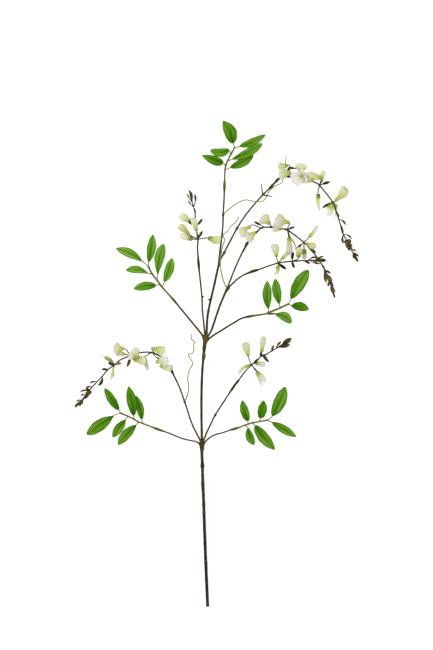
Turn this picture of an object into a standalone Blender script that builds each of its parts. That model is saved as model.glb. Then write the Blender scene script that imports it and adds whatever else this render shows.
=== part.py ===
"""Artificial wisteria spray, lying on its back on a level surface as if just put down.

One long stem of moulded plastic over wire carries five pinnate leaves of cloth leaflets, six
racemes of silk florets that end in moulded brown buds, and three thin curled tendrils.

Frame: metres, +Z up, +Y along the stem towards the top leaf, +X to the right of the stem.
The origin is the middle of the spray's footprint, on the surface that it lies on.
Places in the lists below are in millimetres: (x, y, height of the centre above the surface).
"""

import math

import bmesh
import bpy
from mathutils import Vector

MM = 0.001
GAP = 0.4  # clearance left between pieces that meet, in millimetres

# Moulded stems: number of sides, longest run between two rings, radii at the start and the end
STEM_SIDES = 8
STEM_STEP = 28
TWIG_SIDES = 6
TWIG_STEP = 15
LEAF_STALK_RADII = (1.6, 1.1)
FLOWER_STALK_RADII = (1.55, 1.4)
RACHIS_RADII = (1.35, 1.1)
TIP_RADII = (1.0, 0.7)
THIN_SIDES = 5
PRONG_RADII = (0.9, 0.6)
PEDICEL_RADII = (0.8, 0.8)
PETIOLULE_RADII = (0.75, 0.75)
TENDRIL_RADII = (0.75, 0.5)
TENDRIL_STEP = 9
SWEPT_OVER = 0.4  # a leaf stalk's rachis runs this far past its last joint

# Cloth leaflets
LEAFLET_THICKNESS = 1.1
LEAFLET_POINT = 0.7  # half width of the blunt foot and tip
LEAFLET_ARCH = 0.05  # rise of a leaflet's middle over a straight line, as a share of its length
LEAFLET_FOLD = 0.10  # rise of its edges over its midrib, as a share of its width
LEAFLET_FOOTWARD = 0.85  # under 1 puts the widest place nearer the foot than the tip
LEAFLET_FULLNESS = 0.8  # under 1 fills the outline towards both ends
LEAFLET_STATIONS = (0.0, 0.14, 0.32, 0.52, 0.72, 0.88, 1.0)

# Silk florets: a calyx cup, then the petals' mass as shares of its length and half width
CALYX_RADIUS = 3.0
CALYX_FOOT = 0.6  # how far the cup reaches back past its middle, as a share of its radius
CALYX_SHARES = ((0.0, 0.5), (0.16, 1.0))  # of the floret's length, of the calyx radius
PETAL_SHARES = ((0.64, 1.0), (0.87, 0.85), (1.0, 0.4))
THROAT_SHARES = (0.36, 0.6)
PETAL_SIDES = 6
PETAL_THICKNESS_SHARE = 0.5  # of a floret's width

# Moulded buds: a thin foot, a spindle and a point
BUD_FOOT = 0.6
BUD_POINT = 0.3
BUD_SHARES = ((0.5, 0.85), (0.72, 1.0))
BUD_FOOT_END = 0.25  # share of the bud's length

# The main stem and the two branches that fork from it.
# Each row: route, radii at the start and the end,
# swellings as {waypoint number: (radius, half length)}.
BRANCHES = {
    "main_stem_lower": (
        [(-20, -550, 3), (-24, -459, 5), (-27, -380, 8), (-29, -317, 10), (-31, -270, 12),
         (-32, -230, 14), (-33, -205, 15), (-33, -188, 16), (-33, -173, 16)],
        (2.9, 2.6), {4: (3.6, 10), 5: (3.7, 5), 7: (4.6, 15), 8: (4.8, 15)},
    ),
    "main_stem_upper": (
        [(-33, -172.9, 16), (-34, -118, 18), (-34, -75, 20), (-33, -35, 21), (-31, -1, 22),
         (-29, 17, 22), (-27, 38, 23), (-24, 56, 24), (-22.5, 64, 24)],
        (2.4, 2.1), {5: (3.2, 7), 8: (7.0, 16)},
    ),
    "centre_branch": (
        [(-22.4, 64.2, 24), (-21, 99, 27), (-18, 121, 29), (-12, 148, 31), (-3, 187, 34), (7, 233, 36)],
        (2.3, 1.9), {5: (2.8, 6)},
    ),
    "right_branch": (
        [(-18, 64.0, 24), (-10, 79, 25), (4, 121, 28), (18, 156, 30), (27, 173, 30)],
        (2.0, 2.3), {4: (3.0, 9)},
    ),
}

# Leaf stalks, each one moulding of stalk, plug sleeve and rachis: route, swellings, leaflets.
# Leaflets are (joint on the rachis, foot of the blade, tip of the blade, width).
LEAVES = {
    "top": (
        [(5.5, 233.6, 36), (9, 264, 38), (14, 307, 38), (15, 336, 37), (17, 371, 34), (18, 411, 29),
         (19, 435, 25), (21, 447, 23), (25, 458, 21), (33, 474, 18), (41, 488, 15)],
        {3: (2.3, 5), 5: (2.4, 13)},
        [((41, 488, 15), (38, 498, 13), (15, 550, 1), 26),
         ((32, 473, 18), (29, 482, 16), (-14, 482, 2), 18),
         ((20, 447, 23), (15, 453, 21), (-34, 472, 2), 20),
         ((42, 488, 15), (52, 491, 14), (111, 518, 1), 20),
         ((25, 458, 21), (33, 461, 23), (104, 498, 9), 22),
         ((19, 438, 24), (31, 443, 19), (83, 472, 1), 20)],
    ),
    "upper_right": (
        [(-16.4, 57.6, 23), (-3, 67, 27), (11, 75, 29), (27, 85, 31), (42, 94, 32), (56, 102, 32),
         (76, 107, 31), (109, 112, 27), (119, 116, 25), (132, 121, 22), (144, 126, 19), (163, 135, 15)],
        {6: (2.3, 13)},
        [((118, 116, 25), (117, 123, 23), (115, 188, 8), 20),
         ((143, 126, 19), (142, 134, 17), (133, 192, 2), 21),
         ((163, 135, 15), (168, 146, 14), (208, 212, 1), 31),
         ((163, 135, 15), (169, 131, 14), (209, 123, 1), 21),
         ((117, 114, 25), (132, 112, 21), (170, 93, 2), 20)],
    ),
    "upper_left": (
        [(-28.5, 66.2, 24), (-53, 90, 28), (-78, 121, 30), (-97, 144, 31), (-123, 173, 27), (-128.5, 180.3, 25.5),
         (-134, 188, 24), (-145, 202, 20), (-154, 219, 15)],
        {3: (2.3, 13)},
        [((-154, 218, 15), (-166, 230, 12), (-228, 261, 1), 20),
         ((-154, 219, 15), (-154, 228, 13), (-144, 293, 1), 21),
         ((-145, 203, 20), (-154, 204, 18), (-205, 212, 2), 17),
         ((-134, 188, 24), (-133, 197, 22), (-120, 271, 4), 23),
         ((-124, 173, 27), (-118, 184, 25), (-100, 239, 8), 20),
         ((-130, 178, 26), (-136, 177, 24), (-188, 169, 3), 20)],
    ),
    "lower_left": (
        [(-38.6, -180, 15), (-47, -176, 16), (-62, -173, 18), (-78, -169, 20), (-91, -164, 21),
         (-105, -158, 22), (-133, -148, 23), (-167, -135, 20), (-176, -132, 19), (-186, -126, 18),
         (-200, -119, 16), (-217, -112, 13)],
        {6: (2.3, 13)},
        [((-217, -112, 13), (-221, -105, 12), (-253, -56, 1), 20),
         ((-217, -112, 13), (-231, -117, 11), (-294, -161, 1), 26),
         ((-200, -119, 16), (-205, -126, 14), (-235, -167, 1), 21),
         ((-176, -132, 19), (-181, -138, 17), (-223, -184, 1), 22),
         ((-187, -126, 18), (-187, -118, 20), (-199, -51, 9), 24),
         ((-168, -135, 20), (-169, -126, 14), (-182, -73, 1), 20)],
    ),
    "lower_right": (
        [(-27.2, -179, 15), (-22, -173, 17), (-12, -165, 19), (-1, -160, 20), (14, -156, 22),
         (28, -151, 23), (42, -147, 23), (54, -143, 22), (64, -139, 21), (71, -137, 20), (81, -134, 18),
         (97, -131, 16), (115, -128, 13)],
        {6: (2.3, 11)},
        [((71, -137, 20), (71, -130, 19), (58, -83, 3), 20),
         ((97, -131, 16), (99, -124, 15), (107, -83, 2), 21),
         ((115, -128, 13), (126, -119, 12), (156, -52, 1), 29),
         ((64, -139, 21), (71, -145, 18), (85, -184, 3), 17),
         ((81, -134, 18), (87, -140, 16), (132, -195, 1), 26),
         ((115, -128, 13), (126, -133, 12), (181, -166, 1), 20)],
    ),
}

# Racemes. "stalk" is the moulding up to its plug sleeve, "rachis" the run that carries florets,
# "tip" the last run, which carries only buds. "prongs" are short side twigs of the stalk.
# Florets are (root on the rachis, calyx, end of the petals, width);
# buds are (root on the rachis, tip, width).
RACEMES = {
    "top_right": {
        "stalk": [(8.7, 233.6, 36), (17, 250, 39), (29, 273, 43), (46, 305, 48), (64, 333, 53), (84, 358, 57),
                  (105, 381, 61), (124, 400, 63), (136, 413, 64), (144, 420, 64)],
        "swellings": {1: (2.3, 5), 3: (2.1, 5), 6: (2.0, 4), 7: (2.5, 12)},
        "prongs": [((104, 380, 61), (101, 405, 64)), ((105, 380, 61), (126, 377, 62))],
        "rachis": [(144.7, 420.4, 64), (165, 421, 65), (186, 419, 64), (206, 414, 61), (223, 408, 58),
                   (232, 402, 55), (245, 387, 50), (262, 365, 44), (267, 354, 40)],
        "florets": [((163, 421, 65), (155, 450, 68), (138, 442, 70), 18),
                    ((170, 421, 65), (167, 434, 72), (146, 428, 76), 17),
                    ((190, 418, 64), (192, 423, 70), (168, 414, 78), 30),
                    ((186, 419, 64), (189, 431, 66), (193, 449, 70), 26),
                    ((214, 411, 60), (214, 416, 64), (205, 428, 69), 20),
                    ((232, 402, 55), (236, 422, 59), (214, 427, 63), 18),
                    ((232, 402, 55), (228, 380, 47), (231, 346, 38), 11),
                    ((262, 365, 44), (276, 370, 47), (296, 395, 53), 15),
                    ((262, 365, 44), (265, 354, 36), (246, 333, 31), 16)],
        "buds": [((192, 418, 64), (162, 447, 76), 4.5), ((232, 402, 55), (257, 410, 57), 4.5),
                 ((262, 365, 44), (239, 351, 43), 4.5)],
        "tip": [(267, 354, 40), (274, 336, 34), (278, 322, 29), (284, 299, 22), (288, 291, 19),
                (296, 277, 15), (301, 266, 12), (308, 251, 9), (320.5, 230, 4)],
        "tip_buds": [((277, 326, 30), (290, 313, 29), 4), ((287, 294, 20), (305, 282, 17), 4.5),
                     ((287, 293, 19), (286, 273, 14), 4.5), ((294, 281, 16), (306, 257, 10), 17),
                     ((304, 260, 11), (316, 252, 8), 6), ((308, 252, 9), (316, 238, 5), 11)],
    },
    "middle_right": {
        "stalk": [(25.8, 174.2, 30), (38, 206, 36), (50, 234, 42), (61, 256, 46), (70, 273, 48)],
        "swellings": {3: (1.8, 12), 4: (2.0, 10)},
        "prongs": [],
        "rachis": [(70, 273, 48), (94, 300, 50), (102, 306, 50), (123, 308, 49), (147, 304, 47),
                   (159, 302, 45), (175, 291, 42), (197, 274, 37), (215, 255, 30)],
        "florets": [((102, 306, 50), (73, 308, 56), (56, 291, 54), 14),
                    ((102, 306, 50), (86, 295, 57), (74, 279, 60), 18),
                    ((123, 308, 49), (119, 321, 55), (108, 328, 63), 26),
                    ((159, 302, 45), (161, 321, 51), (136, 326, 60), 25),
                    ((155, 303, 46), (142, 307, 53), (127, 300, 55), 18),
                    ((159, 302, 45), (165, 284, 38), (164, 247, 23), 15),
                    ((197, 274, 37), (209, 287, 41), (228, 311, 48), 10),
                    ((197, 274, 37), (204, 271, 41), (220, 263, 44), 16),
                    ((197, 274, 37), (197, 254, 27), (199, 238, 21), 10)],
        "buds": [((108, 307, 50), (84, 320, 57), 4.5), ((159, 302, 45), (176, 308, 46), 4.5),
                 ((197, 274, 37), (178, 258, 28), 4.5), ((205, 266, 34), (225, 250, 29), 4.5)],
        "tip": [(215, 255, 30), (227, 241, 24), (241, 222, 18), (247, 206, 15), (256, 186, 11),
                (261, 168, 8), (267, 149, 4)],
        "tip_buds": [((243, 218, 17), (258, 205, 13), 4.5), ((245, 212, 16), (250, 190, 10), 9),
                     ((250, 200, 13), (262, 183, 10), 9), ((257, 184, 11), (259, 162, 7), 10)],
    },
    "side_right": {
        "stalk": [(28.8, 173.2, 30), (45, 189, 33), (59, 199, 35), (75, 206, 36), (83, 209, 36.5),
                  (94, 212, 37)],
        "swellings": {4: (2.2, 12)},
        "prongs": [],
        "rachis": [(94, 212, 37), (116, 220, 38), (139, 227, 38), (158, 230, 38), (171, 231, 37),
                   (180, 231.5, 37)],
        "florets": [((139, 227, 38), (134, 244, 42), (126, 269, 46), 17),
                    ((139, 227, 38), (149, 237, 41), (161, 251, 44), 11),
                    ((171, 231, 37), (183, 243, 42), (181, 258, 44), 14),
                    ((139, 227, 38), (137, 218, 36), (131, 201, 31), 10)],
        "buds": [((139, 227, 38), (157, 214, 34), 5.5), ((171, 231, 37), (173, 252, 43), 5.5),
                 ((171, 231, 37), (176, 217, 34), 5.5)],
        "tip": [(180, 231.5, 37), (192, 232, 36), (209, 233, 35), (227, 233.5, 34), (245, 233, 33)],
        "tip_buds": [((195, 232, 36), (212, 227, 34), 4.5), ((207, 233, 35), (226, 225, 33), 4.5),
                     ((205, 233, 35), (241, 243, 38), 5.5), ((222, 233, 34), (241, 234, 33), 12)],
    },
    "lower_left": {
        "stalk": [(-37.2, -172.4, 17), (-55, -137, 23), (-72, -86, 31), (-83, -55, 36), (-95, -29, 40),
                  (-103, -13, 42)],
        "swellings": {2: (2.0, 5), 5: (2.2, 16)},
        "prongs": [],
        "rachis": [(-103, -13, 42), (-112, -4, 43), (-123, 13, 45), (-140, 23, 46), (-155, 26, 46),
                   (-172, 25, 44), (-186, 22, 42), (-200, 16, 39), (-218, 8, 35), (-231, -3, 31),
                   (-245, -13, 27)],
        "florets": [((-110, -6, 43), (-124, -7, 51), (-101, -4, 55), 14),
                    ((-123, 13, 45), (-133, 4, 49), (-109, 11, 59), 19),
                    ((-140, 23, 46), (-142, 36, 51), (-115, 28, 55), 18),
                    ((-172, 25, 44), (-178, 18, 52), (-184, 34, 60), 18),
                    ((-186, 22, 42), (-180, 20, 54), (-196, 20, 57), 16),
                    ((-172, 25, 44), (-184, 5, 42), (-163, 9, 47), 14),
                    ((-147, 25, 46), (-160, 9, 39), (-155, -14, 30), 10),
                    ((-195, 18, 40), (-210, 34, 47), (-231, 38, 53), 25),
                    ((-195, 18, 40), (-208, 22, 44), (-220, 26, 46), 14),
                    ((-231, -3, 31), (-238, 8, 33), (-262, 21, 35), 10),
                    ((-231, -3, 31), (-232, -11, 28), (-241, -36, 20), 11)],
        "buds": [((-143, 24, 46), (-126, 11, 50), 4.5), ((-192, 19, 41), (-201, -6, 36), 5),
                 ((-231, -3, 31), (-245, 3, 30), 5), ((-231, -3, 31), (-214, 2, 32), 4.5)],
        "tip": [(-245, -13, 27), (-257, -27, 22), (-273, -41, 17), (-287, -60, 12), (-294, -70, 10),
                (-304, -82, 8), (-320.5, -99, 4)],
        "tip_buds": [((-248, -15, 26), (-261, -11, 26), 4.5), ((-258, -28, 22), (-267, -48, 16), 5.5),
                     ((-271, -39, 18), (-286, -45, 16), 4.5), ((-283, -54, 14), (-307, -64, 10), 5),
                     ((-286, -58, 12), (-297, -76, 9), 15), ((-303, -80, 8), (-315, -92, 6), 11)],
    },
    "lower_right": {
        "stalk": [(-28.8, -172.4, 17), (-21, -153, 20), (-14, -139, 22), (-3, -116, 26), (15, -88, 31),
                  (38, -53, 36), (50, -37, 38)],
        "swellings": {3: (2.0, 5), 5: (2.2, 14)},
        "prongs": [],
        "rachis": [(50, -37, 38), (66, -16, 39), (79, -3, 38), (92, 8, 35), (102, 18, 33), (113, 21, 30)],
        "florets": [((79, -3, 38), (71, 16, 44), (61, 47, 52), 15),
                    ((79, -3, 38), (69, -4, 45), (52, -22, 47), 10),
                    ((102, 18, 33), (102, 28, 37), (105, 61, 46), 15),
                    ((79, -3, 38), (91, 1, 33), (108, 0, 29), 10),
                    ((79, -3, 38), (92, -23, 30), (103, -47, 22), 15)],
        "buds": [((81, -1, 38), (97, 12, 39), 5), ((102, 18, 33), (117, 4, 28), 5),
                 ((102, 18, 33), (113, 12, 35), 4.5)],
        "tip": [(113, 21, 30), (125, 28, 26), (137, 37, 21), (148, 43, 16), (158, 51, 11), (168, 56, 5)],
        "tip_buds": [((123, 27, 27), (130, 40, 27), 4), ((134, 35, 22), (146, 50, 19), 4),
                     ((131, 33, 23), (164, 42, 13), 5.5), ((149, 44, 15), (164, 55, 8), 12)],
    },
    "upper_left": {
        "stalk": [(-26.2, 65.0, 24), (-30, 102, 27), (-32, 121, 29), (-33, 151, 31), (-38, 200, 34),
                  (-41, 230, 35), (-43, 261, 35)],
        "swellings": {3: (1.9, 5), 5: (2.0, 12)},
        "prongs": [],
        "rachis": [(-43, 261, 35), (-42, 281, 35), (-45, 300, 33), (-47, 323, 28)],
        "florets": [((-42, 281, 35), (-17, 283, 38), (6, 279, 34), 17),
                    ((-42, 281, 35), (-59, 282, 32), (-83, 287, 27), 15),
                    ((-42, 281, 35), (-65, 295, 39), (-86, 311, 41), 16),
                    ((-43, 289, 34), (-47, 304, 40), (-53, 326, 42), 13),
                    ((-46, 310, 31), (-63, 325, 27), (-82, 334, 23), 16)],
        "buds": [((-42, 281, 35), (-31, 299, 39), 7), ((-46, 310, 31), (-64, 320, 35), 5.5),
                 ((-46, 310, 31), (-32, 327, 32), 5.5)],
        "tip": [(-47, 323, 28), (-49, 345, 23), (-52, 353, 21), (-57, 372, 14), (-62, 391, 5)],
        "tip_buds": [((-51, 351, 21), (-50, 382, 12), 5), ((-55, 366, 16), (-67, 385, 9), 4.5),
                     ((-51, 351, 21), (-63, 366, 18), 4.5), ((-55, 367, 16), (-61, 388, 7), 7)],
    },
}

TENDRILS = {
    "tendril_lower": [(-70.8, -85, 33), (-67, -74, 35), (-63, -60, 33), (-64, -43, 29), (-65, -33, 26),
                      (-62, -16, 22), (-54, 1, 18), (-64, 20, 15), (-55, 23, 13), (-51, 33, 11),
                      (-53, 43, 9), (-49, 48, 8), (-57, 56, 6), (-57, 67, 5)],
    "tendril_middle": [(23.2, 170, 33.4), (15, 189, 38), (10, 212, 40), (9, 235, 42), (13, 262, 43),
                       (18, 279, 41), (15, 290, 43), (25, 299, 42), (32, 310, 38), (43, 319, 36),
                       (51, 332, 34)],
    "tendril_upper": [(16.8, 338.6, 39.4), (35, 354, 46), (52, 365, 54), (68, 369, 60), (88, 365, 62),
                      (104, 366, 59), (112, 376, 57), (119, 389, 56), (133, 401, 56), (147, 408, 57),
                      (152, 424, 55), (154, 445, 54), (157, 466, 57)],
}

COLOURS = {  # base colour and roughness
    "stem": ((0.060, 0.045, 0.024), 0.65),
    "leaf": ((0.075, 0.275, 0.018), 0.50),
    "flower": ((0.720, 0.740, 0.420), 0.80),
    "bud": ((0.075, 0.048, 0.022), 0.60),
    "tendril": ((0.370, 0.460, 0.230), 0.55),
}


def clear_scene():
    for obj in list(bpy.data.objects):
        bpy.data.objects.remove(obj, do_unlink=True)


def smooth_path(route, step):
    """Points on a Catmull-Rom curve through the route, and the number of the point at each waypoint."""
    knots = [Vector(place) for place in route]
    ends = [2 * knots[0] - knots[1], *knots, 2 * knots[-1] - knots[-2]]
    points, at_waypoint = [knots[0]], [0]
    for before, a, b, after in zip(ends, ends[1:], ends[2:], ends[3:]):
        pieces = max(1, math.ceil((b - a).length / step))
        for k in range(1, pieces + 1):
            t = k / pieces
            points.append(
                0.5 * (2 * a + (b - before) * t + (2 * before - 5 * a + 4 * b - after) * t**2
                       + (3 * a - before - 3 * b + after) * t**3)
            )
        at_waypoint.append(len(points) - 1)
    return points, at_waypoint


def trimmed(points, start=0.0, end=0.0):
    """The same line, shortened at its two ends."""
    points = list(points)
    points[0] = points[0] + (points[1] - points[0]).normalized() * start
    points[-1] = points[-1] + (points[-2] - points[-1]).normalized() * end
    return points


def frames(points):
    """The direction, side and top of a line at each of its points."""
    found = []
    for k, point in enumerate(points):
        ahead = (points[min(k + 1, len(points) - 1)] - points[max(k - 1, 0)]).normalized()
        side = ahead.cross(Vector((0, 0, 1)))
        if side.length < 0.2:
            side = ahead.cross(Vector((0, 1, 0)))
        side.normalize()
        found.append((ahead, side, side.cross(ahead)))
    return found


def skin(name, rings):
    """A closed mesh object through rings of equal size, its two ends filled."""
    bm = bmesh.new()
    rows = [[bm.verts.new(Vector(place) * MM) for place in ring] for ring in rings]
    count = len(rows[0])
    for low, high in zip(rows, rows[1:]):
        for k in range(count):
            after = (k + 1) % count
            bm.faces.new((low[k], low[after], high[after], high[k]))
    bm.faces.new(reversed(rows[0]))
    bm.faces.new(rows[-1])
    bmesh.ops.recalc_face_normals(bm, faces=bm.faces)
    mesh = bpy.data.meshes.new(name)
    bm.to_mesh(mesh)
    bm.free()
    mesh.shade_smooth()
    obj = bpy.data.objects.new(name, mesh)
    bpy.context.collection.objects.link(obj)
    return obj


def tube(name, points, sizes, sides):
    """A round or flattened tube: sizes are (half width, half height) at each point."""
    rings = []
    for point, (_, side, top), (wide, high) in zip(points, frames(points), sizes):
        turns = [2 * math.pi * k / sides for k in range(sides)]
        rings.append([point + side * wide * math.sin(a) + top * high * math.cos(a) for a in turns])
    return skin(name, rings)


def stem(name, route, radii, swellings, sides, step, start_gap=0.0, end_gap=0.0):
    """A tapering stem with knots and sleeves, each a smooth swelling about a waypoint."""
    points, at_waypoint = smooth_path(route, step)
    run = [0.0]
    for a, b in zip(points, points[1:]):
        run.append(run[-1] + (b - a).length)
    start_radius, end_radius = radii
    sizes = []
    for along in run:
        radius = start_radius + (end_radius - start_radius) * along / run[-1]
        for waypoint, (fat, half_length) in swellings.items():
            away = abs(along - run[at_waypoint[waypoint]]) / half_length
            if away < 1:
                radius += (fat - radius) * (1 + math.cos(math.pi * away)) / 2
        sizes.append((radius, radius))
    return tube(name, trimmed(points, start_gap, end_gap), sizes, sides)


def seated(place, line):
    """The nearest point to a place on a line, so that what grows there starts inside it."""
    place, best = Vector(place), None
    for a, b in zip(line, line[1:]):
        run = b - a
        share = min(1.0, max(0.0, (place - a).dot(run) / run.length_squared))
        near = a + run * share
        if best is None or (near - place).length < (best - place).length:
            best = near
    return best


def twig(start, end, radii):
    """A short straight twig."""
    return tube("twig", [Vector(start), Vector(end)], [(radius, radius) for radius in radii], THIN_SIDES)


def fused(name, shapes):
    """One object from overlapping shapes, joined by Boolean unions."""
    whole = shapes[0]
    for shape in shapes[1:]:
        union = whole.modifiers.new("union", "BOOLEAN")
        union.operation = "UNION"
        union.solver = "EXACT"
        union.object = shape
    bpy.context.view_layer.update()
    mesh = bpy.data.meshes.new_from_object(whole.evaluated_get(bpy.context.evaluated_depsgraph_get()))
    for shape in shapes:
        bpy.data.objects.remove(shape, do_unlink=True)
    mesh.name = name
    obj = bpy.data.objects.new(name, mesh)
    bpy.context.collection.objects.link(obj)
    return obj


def leaflet(name, foot, tip, width):
    """A thin pointed blade, folded up along its midrib, arched, with its tip on the surface."""
    foot, tip = Vector(foot), Vector(tip)
    foot += (tip - foot).normalized() * GAP
    ahead = tip - foot
    side = ahead.cross(Vector((0, 0, 1))).normalized()
    top = side.cross(ahead).normalized()
    rings = []
    for share in LEAFLET_STATIONS:
        middle = foot + ahead * share + top * ahead.length * LEAFLET_ARCH * math.sin(math.pi * share)
        outline = 0.0
        if 0 < share < 1:
            outline = math.sin(math.pi * share**LEAFLET_FOOTWARD) ** LEAFLET_FULLNESS
        half = max(width / 2 * outline, LEAFLET_POINT)
        thick = LEAFLET_THICKNESS * (1 + outline) / 2
        rise = top * 2 * half * LEAFLET_FOLD
        rings.append([middle - side * half + rise, middle - top * thick, middle + side * half + rise, middle])
    return skin(name, rings)


def leaf(place, route, swellings, leaflets):
    """One leaf: its stalk with the leaflets' short stalks, and the leaflets, each a piece of its own."""
    rachis = stem("rachis", route, LEAF_STALK_RADII, swellings, TWIG_SIDES, TWIG_STEP, GAP, -SWEPT_OVER)
    line, _ = smooth_path(route, TWIG_STEP)
    shapes = [rachis]
    for joint, foot, _, _ in leaflets:
        shapes.append(twig(seated(joint, line), foot, PETIOLULE_RADII))
    pieces = {f"leaf_stalk_{place}": (fused(f"leaf_stalk_{place}", shapes), "stem")}
    for number, (_, foot, tip, width) in enumerate(leaflets, 1):
        name = f"leaflet_{place}_{number}"
        pieces[name] = (leaflet(name, foot, tip, width), "leaf")
    return pieces


def spindle(start, end, profile, sides, flat=1.0):
    """A straight tube whose half widths are given along it as (share of its length, half width)."""
    start, end = Vector(start), Vector(end)
    places = [start.lerp(end, share) for share, _ in profile]
    sizes = [(half, max(half * flat, min(half, CALYX_RADIUS))) for _, half in profile]
    return tube("spindle", places, sizes, sides)


def floret(line, root, calyx, end, width):
    """Two overlapping shapes that grow from a line: the pedicel, and the calyx with the petals' mass."""
    calyx, end, half = Vector(calyx), Vector(end), width / 2
    ahead = (end - calyx).normalized()
    foot = calyx - ahead * CALYX_FOOT * CALYX_RADIUS
    throat_at, throat = THROAT_SHARES
    profile = [(share, size * CALYX_RADIUS) for share, size in CALYX_SHARES]
    profile.append((throat_at, max(throat * half, CALYX_RADIUS)))
    profile += [(share, size * half) for share, size in PETAL_SHARES]
    petals = spindle(foot, end, profile, PETAL_SIDES, PETAL_THICKNESS_SHARE)
    return [twig(seated(root, line), calyx, PEDICEL_RADII), petals]


def bud(line, root, tip, width):
    """A moulded bud that grows from a line: a thin foot, a spindle and a point."""
    profile = [(0.0, BUD_FOOT), (BUD_FOOT_END, BUD_FOOT)]
    profile += [(share, size * width / 2) for share, size in BUD_SHARES]
    profile.append((1.0, BUD_POINT))
    return spindle(seated(root, line), tip, profile, THIN_SIDES)


def raceme(place, parts):
    """One raceme as three pieces: its stalk, the head that carries the florets and the budded tip."""
    stalk_name, head_name, tip_name = f"flower_stalk_{place}", f"flower_head_{place}", f"bud_tip_{place}"
    route, swellings = parts["stalk"], parts["swellings"]
    stalk = stem(stalk_name, route, FLOWER_STALK_RADII, swellings, TWIG_SIDES, TWIG_STEP, GAP, GAP)
    if parts["prongs"]:
        line, _ = smooth_path(route, TWIG_STEP)
        prongs = [twig(seated(start, line), end, PRONG_RADII) for start, end in parts["prongs"]]
        stalk = fused(stalk_name, [stalk, *prongs])
    head = [stem("rachis", parts["rachis"], RACHIS_RADII, {}, TWIG_SIDES, TWIG_STEP)]
    line, _ = smooth_path(parts["rachis"], TWIG_STEP)
    for row in parts["florets"]:
        head += floret(line, *row)
    head += [bud(line, *row) for row in parts["buds"]]
    tip = [stem("tip", parts["tip"], TIP_RADII, {}, TWIG_SIDES, TWIG_STEP, GAP)]
    line, _ = smooth_path(parts["tip"], TWIG_STEP)
    tip += [bud(line, *row) for row in parts["tip_buds"]]
    return {
        stalk_name: (stalk, "stem"),
        head_name: (fused(head_name, head), "flower"),
        tip_name: (fused(tip_name, tip), "bud"),
    }


def finish(name, obj, colour):
    """Names a piece and gives it a material of its own."""
    obj.name = name
    (red, green, blue), roughness = COLOURS[colour]
    material = bpy.data.materials.new(name)
    material.use_nodes = True
    shader = material.node_tree.nodes["Principled BSDF"]
    shader.inputs["Base Color"].default_value = (red, green, blue, 1)
    shader.inputs["Roughness"].default_value = roughness
    shader.inputs["Metallic"].default_value = 0.0
    obj.data.materials.clear()
    obj.data.materials.append(material)


def main():
    clear_scene()
    pieces = {}
    for name, (route, radii, swellings) in BRANCHES.items():
        start_gap = 0.0 if name == "main_stem_lower" else GAP
        pieces[name] = (stem(name, route, radii, swellings, STEM_SIDES, STEM_STEP, start_gap), "stem")
    for place, row in LEAVES.items():
        pieces |= leaf(place, *row)
    for place, parts in RACEMES.items():
        pieces |= raceme(place, parts)
    for name, route in TENDRILS.items():
        pieces[name] = (stem(name, route, TENDRIL_RADII, {}, THIN_SIDES, TENDRIL_STEP), "tendril")
    for name, (obj, colour) in pieces.items():
        finish(name, obj, colour)


main()
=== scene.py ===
"""Looks of an artificial wisteria spray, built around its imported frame.

The spray lies on its back on a level surface: a moulded stem that forks, five leaves of pressed
cloth leaflets, six racemes of cloth florets that end in moulded buds, and three thin tendrils.
Places in the lists below are in millimetres, in the frame's own axes: (x, y, height).
"""

import math

import bmesh
import bpy
import numpy as np
from bpy.props import FloatProperty, FloatVectorProperty, PointerProperty
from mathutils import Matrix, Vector


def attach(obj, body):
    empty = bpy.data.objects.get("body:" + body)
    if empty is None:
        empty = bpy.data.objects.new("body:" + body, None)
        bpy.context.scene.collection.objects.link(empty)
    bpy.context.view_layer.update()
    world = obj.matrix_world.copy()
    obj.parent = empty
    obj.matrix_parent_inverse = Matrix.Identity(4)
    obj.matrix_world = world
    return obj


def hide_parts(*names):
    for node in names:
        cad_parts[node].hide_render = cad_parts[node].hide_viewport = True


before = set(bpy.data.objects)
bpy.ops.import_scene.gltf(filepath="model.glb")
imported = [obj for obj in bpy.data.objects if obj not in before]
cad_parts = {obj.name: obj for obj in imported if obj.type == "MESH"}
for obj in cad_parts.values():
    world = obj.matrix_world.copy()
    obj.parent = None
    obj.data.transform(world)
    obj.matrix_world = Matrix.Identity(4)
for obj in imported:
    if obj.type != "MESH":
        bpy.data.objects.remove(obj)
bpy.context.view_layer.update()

bl_info = {
    "name": "Artificial Wisteria Spray",
    "version": (1, 0, 0),
    "blender": (4, 5, 0),
    "location": "3D View > Sidebar > Wisteria",
    "description": "Builds the stems, leaves, racemes and tendrils of an artificial wisteria spray",
    "category": "Add Mesh",
}

MM = 0.001
BODY = "root"

# The main stem and the two branches that fork from it: route, radii at the start and the end,
# swellings as {waypoint number: (radius, half length)}.
BRANCHES = {
    "main_stem_lower": (
        [
            (-20, -550, 3), (-24, -459, 5), (-27, -380, 8), (-29, -317, 10), (-31, -270, 12),
            (-32, -230, 14), (-33, -205, 15), (-33, -188, 16), (-33, -173, 16),
        ],
        (3.45, 3.5),
        {4: (4.0, 10), 5: (4.5, 7), 7: (5.0, 15), 8: (4.7, 12)},
    ),
    "main_stem_upper": (
        [
            (-33, -172.9, 16), (-34, -118, 18), (-34, -75, 20), (-33, -35, 21), (-31, -1, 22),
            (-29, 17, 22), (-27.5, 38, 23), (-25, 55, 24), (-23.5, 65, 24),
        ],
        (2.8, 3.0),
        {5: (4.2, 14), 6: (4.6, 18), 7: (5.6, 15), 8: (5.9, 16)},
    ),
    "centre_branch": (
        [
            (-22.4, 64.2, 24), (-21, 99, 27), (-18, 121, 29), (-12, 148, 31), (-3, 187, 34),
            (7, 233, 36),
        ],
        (2.65, 2.7),
        {5: (3.5, 9)},
    ),
    "right_branch": (
        [(-18, 64.0, 24), (-10, 79, 25), (4, 121, 28), (18, 156, 30), (27, 173, 30)],
        (2.3, 2.6),
        {4: (4.8, 17)},
    ),
}

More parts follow.
